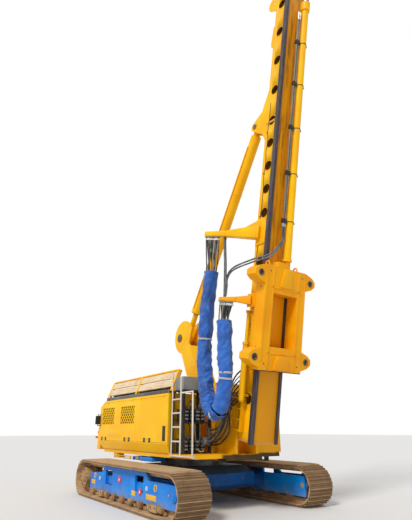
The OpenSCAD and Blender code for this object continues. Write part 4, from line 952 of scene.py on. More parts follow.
def makeHousingParts():
    face, z, (wide, tall) = housing["face"], housing["latchHigh"], housing["latch"]
    for body, places in housing["latches"].items():
        side = 1 if body == "left_lid" else -1
        plates, levers = Shape(), Shape()
        for y in places:
            x = side * abs(face)
            plates.block((x - 0.004, y - wide, z - tall), (x + 0.004, y + wide, z + tall), 0.002)
            levers.block((x + side * 0.003, y - wide * 0.7, z - tall * 0.45),
                         (x + side * 0.012, y + wide * 0.5, z + tall * 0.45), 0.004)
            levers.bolt((x + side * 0.003, y + wide * 0.7, z), (side, 0, 0), 0.006, 0.008)
        plates.make(body + "_latch_plates", body, "blackIron")
        levers.make(body + "_latch_levers", body, "boltSteel")
    (slotRear, slotLow), (slotFront, slotHigh) = housing["slot"]
    mesh = Shape()
    mesh.block((face - 0.003, slotRear, slotLow), (face + 0.004, slotFront, slotHigh), 0.003)
    for i in range(3):
        spot = slotLow + 0.06 + i * 0.11
        mesh.block((face - 0.01, slotRear + 0.015, spot), (face, slotFront - 0.015, spot + 0.02), 0.003)
    mesh.make("front_lid_slot", "right_front_lid", "blackIron")
    # grilles: diamond bars over a dark sheet, which is painted shade inside the housing
    bars, sheet = Shape(), Shape()
    low, high = grilles["z"]
    middle, half = (low + high) / 2, (high - low) / 2
    for rear, ahead in grilles["y"]:
        sheet.block((face + 0.036, rear + 0.002, low + 0.002), (face + 0.039, ahead - 0.002, high - 0.002))
        for i in range(-8, 9):
            centre = (rear + ahead) / 2 + i * grilles["pitch"]
            for slope in (-1, 1):
                first, last = sorted(((rear - centre) * slope, (ahead - centre) * slope))
                first, last = max(-half, first), min(half, last)
                if last - first > 0.03:
                    bars.rod((face + 0.016, centre + slope * first, middle + first),
                             (face + 0.016, centre + slope * last, middle + last), grilles["bar"], 6)
    bars.make("grille_bars", "right_rear_lid", "housingYellow")
    sheet.make("grille_shade_sheets", "right_rear_lid", "blackIron")
    (plateRear, plateLow), (plateFront, plateHigh) = housing["plate"]
    for side, body in ((-1, "right_rear_lid"), (1, "left_lid")):
        mesh = Shape()
        x = side * abs(face)
        mesh.block((x, plateRear, plateLow), (x + side * 0.003, plateFront, plateHigh), 0.001)
        mesh.make(body + "_blank_plate", body, "housingYellow")
    # roof: louvre bank, lifting eyes and the exhaust
    bank = housing["louvres"]
    mesh = Shape()
    step = (bank["y"][1] - bank["y"][0]) / bank["count"]
    for i in range(bank["count"]):
        y = bank["y"][0] + i * step
        mesh.plate(((bank["x"][0], y, bank["top"]), (bank["x"][0], y + step * 0.75, bank["top"] + 0.045),
                    (bank["x"][0], y + step * 0.85, bank["top"] + 0.04),
                    (bank["x"][0], y + step * 0.2, bank["top"])), (bank["x"][1] - bank["x"][0], 0, 0))
    for x in bank["x"]:
        mesh.block((x - 0.02, bank["y"][0] - 0.02, bank["top"] - 0.002),
                   (x + 0.02, bank["y"][1] + 0.02, bank["top"] + 0.05), 0.004)
    mesh.make("roof_louvres", "upper_carriage", "boltSteel")
    mesh = Shape()
    for x in (-0.44, 0.44):
        for y in (1.2, 3.15):
            mesh.ring((x, y, 2.64), (1, 0, 0), 0.055, 0.014)
    mesh.make("roof_eyes", "upper_carriage", "housingYellow")
    pipe = housing["exhaust"]
    mesh = Shape()
    mesh.turned(pipe["spot"], (0, 0, 1), ((pipe["radius"] * 1.7, 0.018), (pipe["radius"] * 1.7, 0.03),
                                          (pipe["radius"], 0.032), (pipe["radius"], pipe["tall"]),
                                          (pipe["radius"] - 0.006, pipe["tall"]), (pipe["radius"] - 0.006, 0.05),
                                          (0, 0.05)))
    mesh.boltCircle(Vector(pipe["spot"]) + Vector((0, 0, 0.03)), (0, 0, 1), pipe["radius"] * 1.45, 6, 0.008, 0.012)
    mesh.make("exhaust_pipe", "upper_carriage", "boltSteel")
    # bolts along the housing's rear
    mesh = Shape()
    for x in (-1.2, -0.9, -0.3, 0.3, 0.9, 1.2):
        mesh.bolt((x, 3.302, 2.45), (0, 1, 0), 0.011, 0.014)
    mesh.make("housing_bolts", "upper_carriage", "boltSteel")


# Cab: rubber round the panes, lamps, mirrors, wiper, rails and roof trim
cab = {
    "front": -2.01, "rear": -0.25, "inner": 0.57, "outer": 1.47, "top": 2.9205,
    "pane": 0.018,
    "lamps": ((0.68, -1.72, 2.925), (1.36, -1.72, 2.925), (0.68, -0.32, 2.925), (1.36, -0.32, 2.925)),
}


def addPaneFrame(mesh, corners, out, thick):
    for a, b in zip(corners, corners[1:] + corners[:1]):
        mesh.rod(a, b, thick, 8)
        mesh.rod(Vector(a) - Vector(out) * 0.004, Vector(a) + Vector(out) * 0.004, thick * 1.02, 8)


def makeCabParts():
    front, rear, inner, outer = cab["front"], cab["rear"], cab["inner"], cab["outer"]
    top, thick = cab["top"], cab["pane"]
    mesh = Shape()
    addPaneFrame(mesh, [(inner + 0.07, front, 1.84), (outer - 0.07, front, 1.84), (outer - 0.07, front, top - 0.56),
                        (inner + 0.07, front, top - 0.56)], (0, -1, 0), thick)
    addPaneFrame(mesh, [(inner, front + 0.48, 1.84), (inner, front + 1.56, 1.84), (inner, front + 1.56, 2.7),
                        (inner, front + 0.48, 2.7)], (-1, 0, 0), thick)
    addPaneFrame(mesh, [(inner + 0.09, rear, 1.94), (outer - 0.09, rear, 1.94), (outer - 0.09, rear, top - 0.22),
                        (inner + 0.09, rear, top - 0.22)], (0, 1, 0), thick)
    mesh.rod((1.02, front - 0.012, 1.8), (0.84, front - 0.02, 2.3), 0.008, 8)
    mesh.block((0.76, front - 0.016, 2.02), (0.775, front - 0.004, 2.34), 0.003)
    mesh.rod((0.768, front - 0.012, 2.18), (0.86, front - 0.018, 2.24), 0.005, 8)
    mesh.block((0.96, front - 0.03, 1.74), (1.08, front, 1.82), 0.01)
    mesh.make("cab_rubber", "upper_carriage", "blackIron", slot="black_hose")
    mesh = Shape()
    addPaneFrame(mesh, [(outer + 0.004, -1.5, 1.84), (outer + 0.004, -0.8, 1.84), (outer + 0.004, -0.8, 2.72),
                        (outer + 0.004, -1.5, 2.72)], (1, 0, 0), thick)
    mesh.block((outer, -1.53, 1.62), (outer + 0.012, -1.4, 1.74), 0.004)
    mesh.rod((outer + 0.03, -1.52, 1.68), (outer + 0.03, -1.4, 1.68), 0.01, 10)
    mesh.make("door_rubber", "cab_door", "blackIron", slot="black_hose")
    # work lamps on brackets along the roof
    bodies, lenses = Shape(), Shape()
    spots = [(x, y, z, -1 if y < -1 else 1) for x, y, z in cab["lamps"]]
    for x, y, z, way in spots:
        bodies.block((x - 0.02, y - 0.01, z - 0.01), (x + 0.02, y + 0.01, z + 0.05), 0.003)
        bodies.turned((x, y, z + 0.095), (0, way, 0), ((0, -0.045), (0.03, -0.042), (0.052, -0.01), (0.058, 0.03),
                                                       (0.052, 0.034)), 20)
        lenses.turned((x, y + way * 0.03, z + 0.095), (0, way, 0), ((0.054, 0), (0.04, 0.008), (0, 0.011)), 20)
    bodies.make("lamp_bodies", "upper_carriage", "blackIron")
    lenses.make("lamp_lenses", "upper_carriage", "whiteLens")
    # mirrors on bent arms at the cab's front corner and the right wing
    mesh, glass = Shape(), Shape()
    for x, y, z, reach in ((1.46, -0.4, 2.3, 0.14), (-1.47, 3.2, 2.05, -0.16)):
        mesh.rod((x, y, z + 0.16), (x + reach, y - 0.05, z + 0.16), 0.01, 10)
        mesh.rod((x, y, z - 0.16), (x + reach, y - 0.05, z - 0.16), 0.01, 10)
        mesh.rod((x + reach, y - 0.05, z - 0.18), (x + reach, y - 0.05, z + 0.18), 0.01, 10)
        mesh.block((x + reach - 0.09, y - 0.08, z - 0.13), (x + reach + 0.09, y - 0.055, z + 0.13), 0.012)
        glass.block((x + reach - 0.078, y - 0.056, z - 0.118), (x + reach + 0.078, y - 0.052, z + 0.118), 0.0015)
    mesh.make("mirror_frames", "upper_carriage", "blackIron")
    glass.make("mirror_glasses", "upper_carriage", "chromeRod")
    # grab rails and steps beside the door
    mesh = Shape()
    for y in (-1.66, -0.62):
        mesh.rod((outer + 0.045, y, 1.55), (outer + 0.045, y, 2.45), 0.014, 12)
        for z in (1.56, 2.44):
            mesh.rod((outer - 0.004, y, z), (outer + 0.047, y, z), 0.012, 12)
    mesh.make("cab_rails", "upper_carriage", "ladderWhite")
    mesh = Shape()
    for z in (0.98, 1.1):
        mesh.block((1.39, -1.45, z), (1.55, -0.85, z + 0.025), 0.006)
    for y in (-1.44, -0.86):
        mesh.block((1.385, y - 0.012, 0.98), (1.54, y + 0.012, 1.2), 0.003)
    mesh.make("cab_steps", "upper_carriage", "blackIron")
    # roof hatch, gutter and the seat's levers
    mesh = Shape()
    mesh.block((inner + 0.2, -1.35, top - 0.004), (outer - 0.2, -0.7, top + 0.025), 0.01)
    for side in (inner, outer):
        mesh.rod((side, front + 0.28, top - 0.012), (side, rear, top - 0.012), 0.014, 10)
    mesh.make("cab_roof_trim", "upper_carriage", "machineYellow")
    mesh = Shape()
    for x in (0.8, 1.24):
        mesh.block((x - 0.06, -1.32, 1.72), (x + 0.06, -0.9, 1.86), 0.02)
        mesh.turned((x, -1.24, 1.85), (0, -0.2, 1), ((0.03, 0), (0.012, 0.02), (0.012, 0.11), (0.024, 0.13),
                                                     (0.024, 0.17), (0, 0.18)), 14)
    mesh.block((0.72, -1.92, 1.42), (1.32, -1.8, 1.86), 0.02)
    mesh.make("cab_controls", "upper_carriage", "blackIron", slot="black_hose")


# Driver's seat: a sprung base under two crowned cushions
seat = {"middle": 1.02, "base": (-1.23, -0.86, 1.2705, 1.54), "cushion": (-1.33, -0.8, 1.545, 1.68),
        "back": (-0.8, -0.68, 1.56, 2.27), "half": 0.245, "crown": 0.03}


def addCushion(name, low, high, crown, bulge):
    low, high = Vector(low), Vector(high)
    mesh = bmesh.new()
    bmesh.ops.create_cube(mesh, size=2.0)
    bmesh.ops.subdivide_edges(mesh, edges=mesh.edges, cuts=11, use_grid_fill=True)
    half, middle = (high - low) / 2, (high + low) / 2
    for vert in mesh.verts:
        x, y, z = vert.co
        flatness = [1 - 0.5 * v ** 6 for v in (x, y, z)]
        pull = Vector((flatness[1] * flatness[2], flatness[0] * flatness[2], flatness[0] * flatness[1]))
        a, b = [v for i, v in enumerate((x, y, z)) if i != bulge]
        dome = (1 - a * a) * (1 - b * b) * crown
        seam = 0.012 * math.exp(-((abs(a) - 0.42) / 0.06) ** 2) + 0.01 * math.exp(-((abs(b) - 0.0) / 0.05) ** 2)
        vert.co = middle + Vector([v * h * (0.9 + 0.1 * p) for v, h, p in zip((x, y, z), half, pull)])
        top = (x, y, z)[bulge]
        if abs(top) > 0.6:
            vert.co[bulge] += math.copysign(dome * 0.5 - seam, top)
    piece = makePiece(name, mesh, "upper_carriage", "seatFabric", crease=80)
    smoother = piece.modifiers.new("smoothCushion", "SUBSURF")
    smoother.levels = smoother.render_levels = 1
    return piece


def makeSeat():
    left, right = seat["middle"] - seat["half"], seat["middle"] + seat["half"]
    rear, front, low, high = seat["cushion"]
    piece = addCushion("seat_cushion", onDeck @ Vector((left, rear, low)), onDeck @ Vector((right, front, high)),
                       seat["crown"], 2)
    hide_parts("cab_seat")
    rear, front, low, high = seat["back"]
    addCushion("seat_back", onDeck @ Vector((left + 0.01, rear, low)), onDeck @ Vector((right - 0.01, front, high)),
               seat["crown"], 1)
    mesh = Shape()
    rear, front, low, high = seat["base"]
    mesh.block((seat["middle"] - 0.18, rear, low), (seat["middle"] + 0.18, front, low + 0.05), 0.006)
    mesh.block((seat["middle"] - 0.16, rear + 0.02, high - 0.03), (seat["middle"] + 0.16, front - 0.02, high),
               0.006)
    for i in range(5):
        z = low + 0.065 + i * 0.036
        mesh.ring((seat["middle"], (rear + front) / 2, z), (0, 0, 1), 0.115, 0.016, turns=24)
    mesh.block((seat["middle"] - 0.2, -0.8, 1.545), (seat["middle"] + 0.2, -0.77, 1.6), 0.006)
    mesh.make("seat_base", "upper_carriage", "blackIron")


# Deck, counterweight and winch: studs, eyes, bolts, lenses, motors and wound rope
deck = {"tread": ((-1.44, -2.34), (-0.42, -1.82)), "top": 1.2205,
        "rope": {"axis": (0.06, 1.5505), "drum": 0.2, "thick": 0.011, "turns": 22, "wide": 0.235, "layers": 2},
        "weight": {"x": 1.42, "rear": 3.92, "top": 2.2005}}


def makeDeckParts():
    # raised studs on the walkway's tread plate
    mesh = Shape()
    (x0, y0), (x1, y1) = deck["tread"]
    for i in range(17):
        for j in range(9):
            x, y = x0 + 0.04 + i * 0.058, y0 + 0.03 + j * 0.056
            turn = math.radians(45 if (i + j) % 2 else -45)
            mesh.frameOf = onDeck @ Matrix.Translation((x, y, deck["top"])) @ Matrix.Rotation(turn, 4, "Z")
            mesh.block((-0.018, -0.005, -0.003), (0.018, 0.005, 0.003))
    mesh.make("walkway_studs", "upper_carriage", "machineYellow")
    # counterweight: lifting eyes, seam bolts, reflectors and tail lamps
    weight = deck["weight"]
    mesh, red, steel = Shape(), Shape(), Shape()
    for x in (-0.95, 0.95):
        mesh.block((x - 0.09, 3.5, weight["top"] - 0.01), (x + 0.09, 3.7, weight["top"] + 0.02), 0.008)
        mesh.ring((x, 3.6, weight["top"] + 0.055), (1, 0, 0), 0.055, 0.018)
    for x in (-1.0, -0.5, 0.0, 0.5, 1.0):
        steel.bolt((x, weight["rear"], 1.33), (0, 1, 0), 0.026, 0.026)
    for side in (-1, 1):
        for z in (1.45, 1.95):
            steel.bolt((side * weight["x"], 3.42, z), (side, 0, 0), 0.022, 0.022)
        red.block((side * 1.25 - 0.11, weight["rear"] - 0.001, 1.5),
                  (side * 1.25 + 0.11, weight["rear"] + 0.012, 1.56), 0.004)
        red.turned((side * 1.25, weight["rear"], 1.68), (0, 1, 0),
                   ((0.05, -0.001), (0.05, 0.018), (0.03, 0.03), (0, 0.033)))
    mesh.make("weight_eyes", "upper_carriage", "machineYellow")
    red.make("weight_lenses", "upper_carriage", "redLens")
    steel.make("weight_bolts", "upper_carriage", "boltSteel")
    # winch: rope wound in two layers, motor and gear case
    rope, mesh = deck["rope"], Shape()
    for layer in range(rope["layers"]):
        for i in range(rope["turns"] - layer):
            x = -rope["wide"] + (i + 0.5 + 0.5 * layer) * 2 * rope["wide"] / rope["turns"]
            mesh.ring((x, *rope["axis"]), (1, 0, 0), rope["drum"] + rope["thick"] * (1 + 1.7 * layer),
                      rope["thick"], turns=36, around=6)
    mesh.make("wound_rope", "winch_drum", "greasedSteel", crease=70)
    mesh = Shape()
    for side in (-1, 1):
        mesh.boltCircle((side * 0.304, *rope["axis"]), (side, 0, 0), 0.075, 8, 0.009, 0.01)
    mesh.make("winch_bolts", "winch_drum", "boltSteel")
    # slewing motors and the ring's bolts
    mesh, ring = Shape(), Shape()
    for x in (-0.62, 0.62):
        mesh.turned((x, 0.62, 1.2205), (0, 0, 1), ((0.15, 0), (0.15, 0.05), (0.12, 0.055), (0.12, 0.26),
                                                   (0.09, 0.28), (0.09, 0.42), (0.06, 0.44), (0, 0.441)))
        mesh.boltCircle((x, 0.62, 1.27), (0, 0, 1), 0.135, 8, 0.009, 0.012, 20)
    mesh.make("slew_motors", "upper_carriage", "boxGrey")
    for i in range(40):
        turn = math.radians(9 * i)
        out = Vector((math.cos(turn), math.sin(turn), 0))
        ring.rod(out * 0.857 + Vector((0, 0, 0.94)), out * 0.872 + Vector((0, 0, 0.94)), 0.014, 6)
    ring.make("ring_bolts", "undercarriage", "boltSteel")


# Hoses that sweep from the valve bay, under the loop, to the leader's foot
footHoses = {
    "start": (-0.64, -1.812, 1.42), "rise": 0.055,
    "route": ((0, 0, 0), (0.02, -0.12, 0.0), (0.03, -0.34, 0.06), (0.05, -0.58, 0.3)),
    # ends on the leader's side, and the steps that lead to them, in the leader's own frame
    "end": (-0.347, 0.47, 1.02), "pitch": 0.115, "lead": ((-0.13, 0.3, -0.42), (-0.05, 0.09, -0.11)),
    "bend": ((-0.62, -1.95, 1.45), (-0.52, -2.6, 2.2)), "count": 7,
    "looks": ("hoseBlack", "hoseBlack", "hoseGrey", "hoseBlack", "hoseBlack", "hoseBeige", "hoseBlack"),
    "thick": (0.04, 0.036, 0.034, 0.04, 0.032, 0.026, 0.038),
}


def makeFootHoses():
    start, end = (onDeck @ Vector(p) for p in footHoses["bend"])
    steel = Shape()
    for i in range(footHoses["count"]):
        thick = footHoses["thick"][i]
        first = Vector(footHoses["start"]) + Vector((-0.02 * (i % 2), 0, footHoses["rise"] * i))
        spread = Vector((-0.05 * (i % 2), 0.034 * i - 0.1, 0))
        points = []
        for number, step in enumerate(footHoses["route"]):
            points.append(onDeck @ (first + Vector(step) + spread * number / 3))
        final = Vector(footHoses["end"]) + Vector((0, 0, footHoses["pitch"] * i))
        for step in footHoses["lead"]:
            points.append(onLeader @ (final + Vector(step)))
        route = smoothRoute([*points, onLeader @ final], 5)
        makeHose(f"foot_hose_{i + 1}", route, thick, footHoses["looks"][i],
                 blended=("upper_carriage", "leader", start, end), digits=3)
        steel.turned(first + Vector((0, 0.03, 0)), (0, -1, 0), ((thick * 0.3, 0), (thick * 0.78, 0.002),
                                                                (thick * 0.78, 0.035), (thick * 0.6, 0.04),
                                                                (thick * 0.6, 0.075), (thick * 0.52, 0.078)), 12)
    steel.block((-0.72, -1.82, 1.38), (-0.615, -1.79, 1.8), 0.004)
    steel.make("foot_hose_fittings", "upper_carriage", "boltSteel")
    # plate on the leader's side where they end
    mesh = Shape(onLeader)
    mesh.block((-0.325, 0.42, 0.98), (-0.348, 0.54, 1.76), 0.004)
    mesh.make("foot_hose_plate", "leader", "leaderYellow")


# Boxes, a filter and brackets under the deck's right edge
under = {"blue": ((-1.4, -0.25, 0.985), (-1.0, 0.45, 1.083)),
         "yellow": ((-1.38, 2.0, 0.99), (-1.15, 2.25, 1.225))}


def makeUnderParts():
    blue, yellow, pale = Shape(), Shape(), Shape()
    blue.block(*under["blue"], 0.012)
    blue.turned((-1.4, 0.86, 1.035), (-1, 0, 0), ((0, -0.3), (0.048, -0.3), (0.048, -0.02), (0.04, 0.002),
                                                  (0, 0.004)), 24)
    pale.block((-1.395, 0.56, 0.99), (-1.1, 0.74, 1.083), 0.01)
    yellow.block(*under["yellow"], 0.01)
    for z in (1.01, 1.06):
        yellow.rod((-1.37, 1.05, z), (-1.37, 2.05, z), 0.014, 10)
    for y in (1.1, 1.5, 1.9):
        yellow.block((-1.385, y - 0.015, 0.99), (-1.355, y + 0.015, 1.083), 0.003)
    blue.make("under_blue", "upper_carriage", "frameBlue")
    pale.make("under_pale", "upper_carriage", "boxGrey")
    yellow.make("under_yellow", "upper_carriage", "housingYellow")


# Rack: yellow straps over the planks, the dark rail along the roof's edge and a black board, painted shade in the
# gap under the planks
rack = {"posts": (-1.05, 1.065, 3.18), "lean": math.radians(22), "foot": (-1.33, 0.0, 2.62),
        "rail": ((-1.395, -0.99, 2.618), (-1.345, 3.12, 2.735)),
        "board": ((-1.17, -0.99, 2.618), (-1.15, 3.12, 2.88))}


def makeRackParts():
    onRack = onDeck @ Matrix.Translation(rack["foot"]) @ Matrix.Rotation(rack["lean"], 4, "Y")
    mesh = Shape(onRack)
    for y in rack["posts"]:
        mesh.block((-0.06, y - 0.04, 0.06), (-0.041, y + 0.04, 0.65), 0.004)
        for z in (0.28, 0.51):
            mesh.bolt((-0.059, y, z), (-1, 0, 0), 0.012, 0.012)
    mesh.block((-0.062, rack["posts"][0], 0.628), (0.0, rack["posts"][-1], 0.668), 0.006)
    mesh.make("rack_straps", "upper_carriage", "housingYellow")
    mesh = Shape()
    mesh.block(*rack["rail"], 0.01)
    for i in range(14):
        y = -0.85 + i * 0.29
        mesh.block((-1.4, y - 0.02, 2.63), (-1.39, y + 0.02, 2.72), 0.003)
    mesh.make("roof_rail", "upper_carriage", "engineGrey")
    # painted shade: a black board fills the gap under the planks
    mesh = Shape()
    mesh.block(*rack["board"], 0.003)
    mesh.make("rack_shade_board", "upper_carriage", "blackIron")


# Valve bay: blocks with solenoids, pipes, fittings and short hoses from block to block
valves = {
    "rows": (1.25, 1.93), "front": -1.64, "x": (-1.31, -1.15, -0.99, -0.83),
    "manifold": ((-0.83, -1.845, 1.42), (-0.65, -1.7, 1.58)),
    # short hoses: start, two points on the way, end, thickness, look
    "hoses": (
        ((-1.25, -1.66, 1.4), (-1.27, -1.775, 1.5), (-1.23, -1.79, 1.8), (-1.25, -1.66, 2.0),
         0.03, "hoseBlack"),
        ((-1.09, -1.66, 1.42), (-1.06, -1.79, 1.56), (-1.12, -1.78, 1.86), (-1.09, -1.66, 2.06),
         0.03, "hoseGrey"),
        ((-0.93, -1.66, 1.38), (-0.96, -1.795, 1.45), (-0.9, -1.78, 1.85), (-0.93, -1.66, 2.01),
         0.032, "hoseBlack"),
        ((-0.77, -1.66, 1.46), (-0.72, -1.78, 1.64), (-0.76, -1.79, 1.9), (-0.77, -1.66, 2.08),
         0.028, "hoseBlack"),
        ((-1.25, -1.66, 2.18), (-1.3, -1.78, 2.3), (-1.18, -1.77, 2.42), (-1.09, -1.66, 2.18),
         0.028, "hoseBlack"),
        ((-0.93, -1.66, 2.18), (-0.96, -1.79, 2.32), (-0.8, -1.78, 2.38), (-0.77, -1.66, 2.18),
         0.028, "hoseGrey"),
        ((-1.25, -1.66, 1.3), (-1.22, -1.76, 1.27), (-1.12, -1.77, 1.27), (-1.09, -1.66, 1.3),
         0.026, "hoseBlack"),
        ((-0.93, -1.66, 1.3), (-0.9, -1.77, 1.27), (-0.82, -1.77, 1.28), (-0.77, -1.66, 1.31),
         0.026, "hoseYellow"),
    ),
}


def makeValveParts():
    blocks, steel = Shape(), Shape()
    for z in valves["rows"]:
        for x in valves["x"]:
            for j in range(3):
                low = z + 0.035 + j * 0.085
                blocks.block((x + 0.012, valves["front"] - 0.04, low),
                             (x + 0.108, valves["front"] + 0.004, low + 0.062), 0.006)
                steel.rod((x + 0.03, valves["front"] - 0.075, low + 0.031),
                          (x + 0.03, valves["front"] - 0.036, low + 0.031), 0.015, 12, bevel=0.003)
                steel.turned((x + 0.085, valves["front"] - 0.036, low + 0.031), (0, -1, 0),
                             ((0.018, -0.002), (0.018, 0.014), (0.01, 0.018), (0.01, 0.03), (0, 0.031)), 6)
            blocks.rod((x + 0.06, valves["front"] + 0.06, z + 0.295), (x + 0.06, valves["front"] + 0.06, z + 0.38),
                       0.026, 14, bevel=0.004)
    low, high = valves["manifold"]
    blocks.block(low, high, 0.01)
    for x in (-0.795, -0.74, -0.685):
        steel.turned((x, low[1], 1.5), (0, -1, 0), ((0.03, -0.002), (0.03, 0.018), (0.024, 0.022), (0.024, 0.06),
                                                    (0.019, 0.064)), 12)
    blocks.make("valve_blocks", "upper_carriage", "engineGrey")
    steel.make("valve_fittings", "upper_carriage", "brightSteel")
    for number, (*points, thick, look) in enumerate(valves["hoses"]):
        points = [points[0], Vector(points[0]).lerp(Vector(points[1]), 0.45), *points[1:3],
                  Vector(points[3]).lerp(Vector(points[2]), 0.45), points[3]]
        route = [onDeck @ spot for spot in smoothRoute(points, 6)]
        makeHose(f"valve_hose_{number + 1}", route, thick, look, "upper_carriage", digits=3)


# Track frames: roller caps, hub bolts, eyes, blank plates, reflectors, chain links and guards
tracks = {
    "outer": 2.05, "wheels": 2.545, "wheelHigh": 0.475,
    "rollers": [-2.01 + 0.4875 * i for i in range(9)],
    # blank plates as (y, z, half length), lifting eyes, reflectors as (y, z, radius), chain guards
    "plates": ((-1.52, 0.36, 0.24), (1.98, 0.4, 0.14), (-0.62, 0.36, 0.1)), "eyes": (-1.72, 1.86),
    "reflectors": ((0.2, 0.58, 0.085), (-0.98, 0.42, 0.075), (-2.32, 0.48, 0.03)), "guards": (-1.76, 1.28),
    "ports": (-1.3, 1.52),
}


def makeTrackParts():
    for side, name in ((-1, "right"), (1, "left")):
        x = side * tracks["outer"]
        caps, steel, plain, red, white, blue = (Shape() for _ in range(6))
        for y in tracks["rollers"]:
            caps.plate(((x - side * 0.05, y - 0.105, 0.238), (x - side * 0.05, y + 0.105, 0.238),
                        (x - side * 0.05, y + 0.07, 0.128), (x - side * 0.05, y - 0.07, 0.128)),
                       (side * 0.115, 0, 0), 0.01)
            caps.turned((x + side * 0.064, y, 0.186), (side, 0, 0),
                        ((0.044, -0.01), (0.044, 0.01), (0.034, 0.018), (0, 0.019)), 20)
            for dy in (-0.076, 0.076):
                caps.bolt((x + side * 0.064, y + dy, 0.215), (side, 0, 0), 0.01, 0.012)
        # final drive behind, idler cap in front
        rear, front = (tracks["wheels"], tracks["wheelHigh"]), (-tracks["wheels"], tracks["wheelHigh"])
        steel.boltCircle((side * 2.13, *rear), (side, 0, 0), 0.215, 12, 0.016, 0.016)
        steel.boltCircle((side * 2.15, *rear), (side, 0, 0), 0.08, 6, 0.01, 0.01, 15)
        blue.turned((x, *front), (side, 0, 0), ((0.11, -0.04), (0.11, 0.02), (0.095, 0.035), (0.06, 0.04),
                                                (0.056, 0.052), (0, 0.054)))
        steel.boltCircle((x + side * 0.028, *front), (side, 0, 0), 0.09, 6, 0.009, 0.012)
        for y in tracks["eyes"]:
            plain.turned((x, y, 0.56), (side, 0, 0), ((0.07, -0.002), (0.07, 0.012), (0.048, 0.014),
                                                      (0.044, -0.002)), 28)
        for y in tracks["ports"]:
            white.turned((x, y, 0.52), (side, 0, 0), ((0.045, -0.002), (0.045, 0.01), (0.03, 0.012),
                                                      (0.026, -0.002)), 24)
        for y, z, half in tracks["plates"]:
            plain.block((x - side * 0.001, y - half, z - 0.055), (x + side * 0.006, y + half, z + 0.055), 0.002)
            for dy in (-0.85, 0.85):
                steel.bolt((x + side * 0.005, y + dy * half, z), (side, 0, 0), 0.006, 0.006)
        for y, z, radius in tracks["reflectors"]:
            red.turned((x, y, z), (side, 0, 0), ((radius, -0.001), (radius, 0.01), (radius * 0.8, 0.016),
                                                 (0, 0.018)), 28)
            white.turned((x + side * 0.016, y, z), (side, 0, 0),
                         ((radius * 0.34, -0.001), (radius * 0.34, 0.004), (0, 0.005)), 20)
        for y in tracks["guards"]:
            caps.block((x - side * 0.02, y - 0.15, 0.11), (x + side * 0.08, y + 0.15, 0.25), 0.014)
            for dy in (-0.09, 0.09):
                steel.bolt((x + side * 0.08, y + dy, 0.2), (side, 0, 0), 0.014, 0.014)
        # chain links seen between the brackets
        for i in range(24):
            y = -2.05 + i * 0.175
            caps.block((x - side * 0.1, y - 0.07, 0.08), (x - side * 0.03, y + 0.07, 0.15), 0.012)
        caps.make(f"roller_caps_{name}", "undercarriage", "rollerMud")
        steel.make(f"frame_bolts_{name}", "undercarriage", "boltSteel")
        plain.make(f"frame_plates_{name}", "undercarriage", "machineYellow")
        red.make(f"frame_red_{name}", "undercarriage", "redLens")
        white.make(f"frame_white_{name}", "undercarriage", "whiteLens")
        blue.make(f"frame_fittings_{name}", "undercarriage", "frameBlue")
    # car body: bolts on its cross beams
    mesh = Shape()
    for side in (-1, 1):
        for y in (-0.9, 0.9):
            for dy in (-0.13, 0, 0.13):
                mesh.bolt((side * 1.3, y + dy, 0.64), (0, 0, 1), 0.018, 0.02)
        for x in (-0.6, 0.0, 0.6):
            mesh.bolt((x, side * 1.45, 0.6), (0, side, 0), 0.016, 0.018)
    mesh.make("belly_bolts", "undercarriage", "boltSteel")


# Leader: hole rims, seams, clipped cable, foot plates, guards and the head's bolts
leader = {
    "side": 0.325, "holeDepth": 0.325, "hole": 0.132, "front": 0.03, "back": 0.55, "wall": 0.016,
    "low": 0.06, "top": 16.5,
    "holes": [0.96, 2.28, 2.94, 3.6] + [4.26 + 0.66 * i for i in range(6)]
             + [8.23 + 0.94 * i for i in range(9)],
    "seams": (4.05, 8.2, 12.4), "fins": (0.33, 0.56, 1.16, 1.4),
    "cable": {"depth": 0.455, "low": 1.9, "high": 9.0, "thick": 0.014},
    "tilt": (-2.4483, 2.4487),
    "clamps": [5.3 + 1.3 * i for i in range(5)], "pipes": (-0.09, -0.035), "feed": (0.13, -0.165),
}


def makeLeaderBox():
    side, wall = leader["side"], leader["wall"]
    shell, hollow = Shape(onLeader), Shape(onLeader)
    shell.block((-side, leader["front"], leader["low"]), (side, leader["back"], leader["top"]), 0.006)
    hollow.block((-side + wall, leader["front"] + wall, leader["low"] + wall),
                 (side - wall, leader["back"] - wall, leader["top"] - wall))
    box = shell.make("leader_main_box", "leader", "leaderBoxYellow")
    cutters = [newObject("hollowCutter", hollow.mesh, paints["leaderBoxYellow"])]
    holes = Shape(onLeader)
    for s in leader["holes"]:
        if s < leader["top"] - 0.3:
            holes.rod((-side - 0.05, leader["holeDepth"], s), (side + 0.05, leader["holeDepth"], s),
                      leader["hole"], 40)
    cutters.append(newObject("holeCutter", holes.mesh, paints["leaderBoxYellow"]))
    for cutter in cutters:
        cut = box.modifiers.new("cut", "BOOLEAN")
        cut.operation = "DIFFERENCE"
        cut.solver = "EXACT"
        cut.object = cutter
    bpy.context.view_layer.update()
    cutMesh = bpy.data.meshes.new_from_object(box.evaluated_get(bpy.context.evaluated_depsgraph_get()))
    box.modifiers.clear()
    box.data = cutMesh
    for cutter in cutters:
        bpy.data.objects.remove(cutter)
    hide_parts("leader_box")


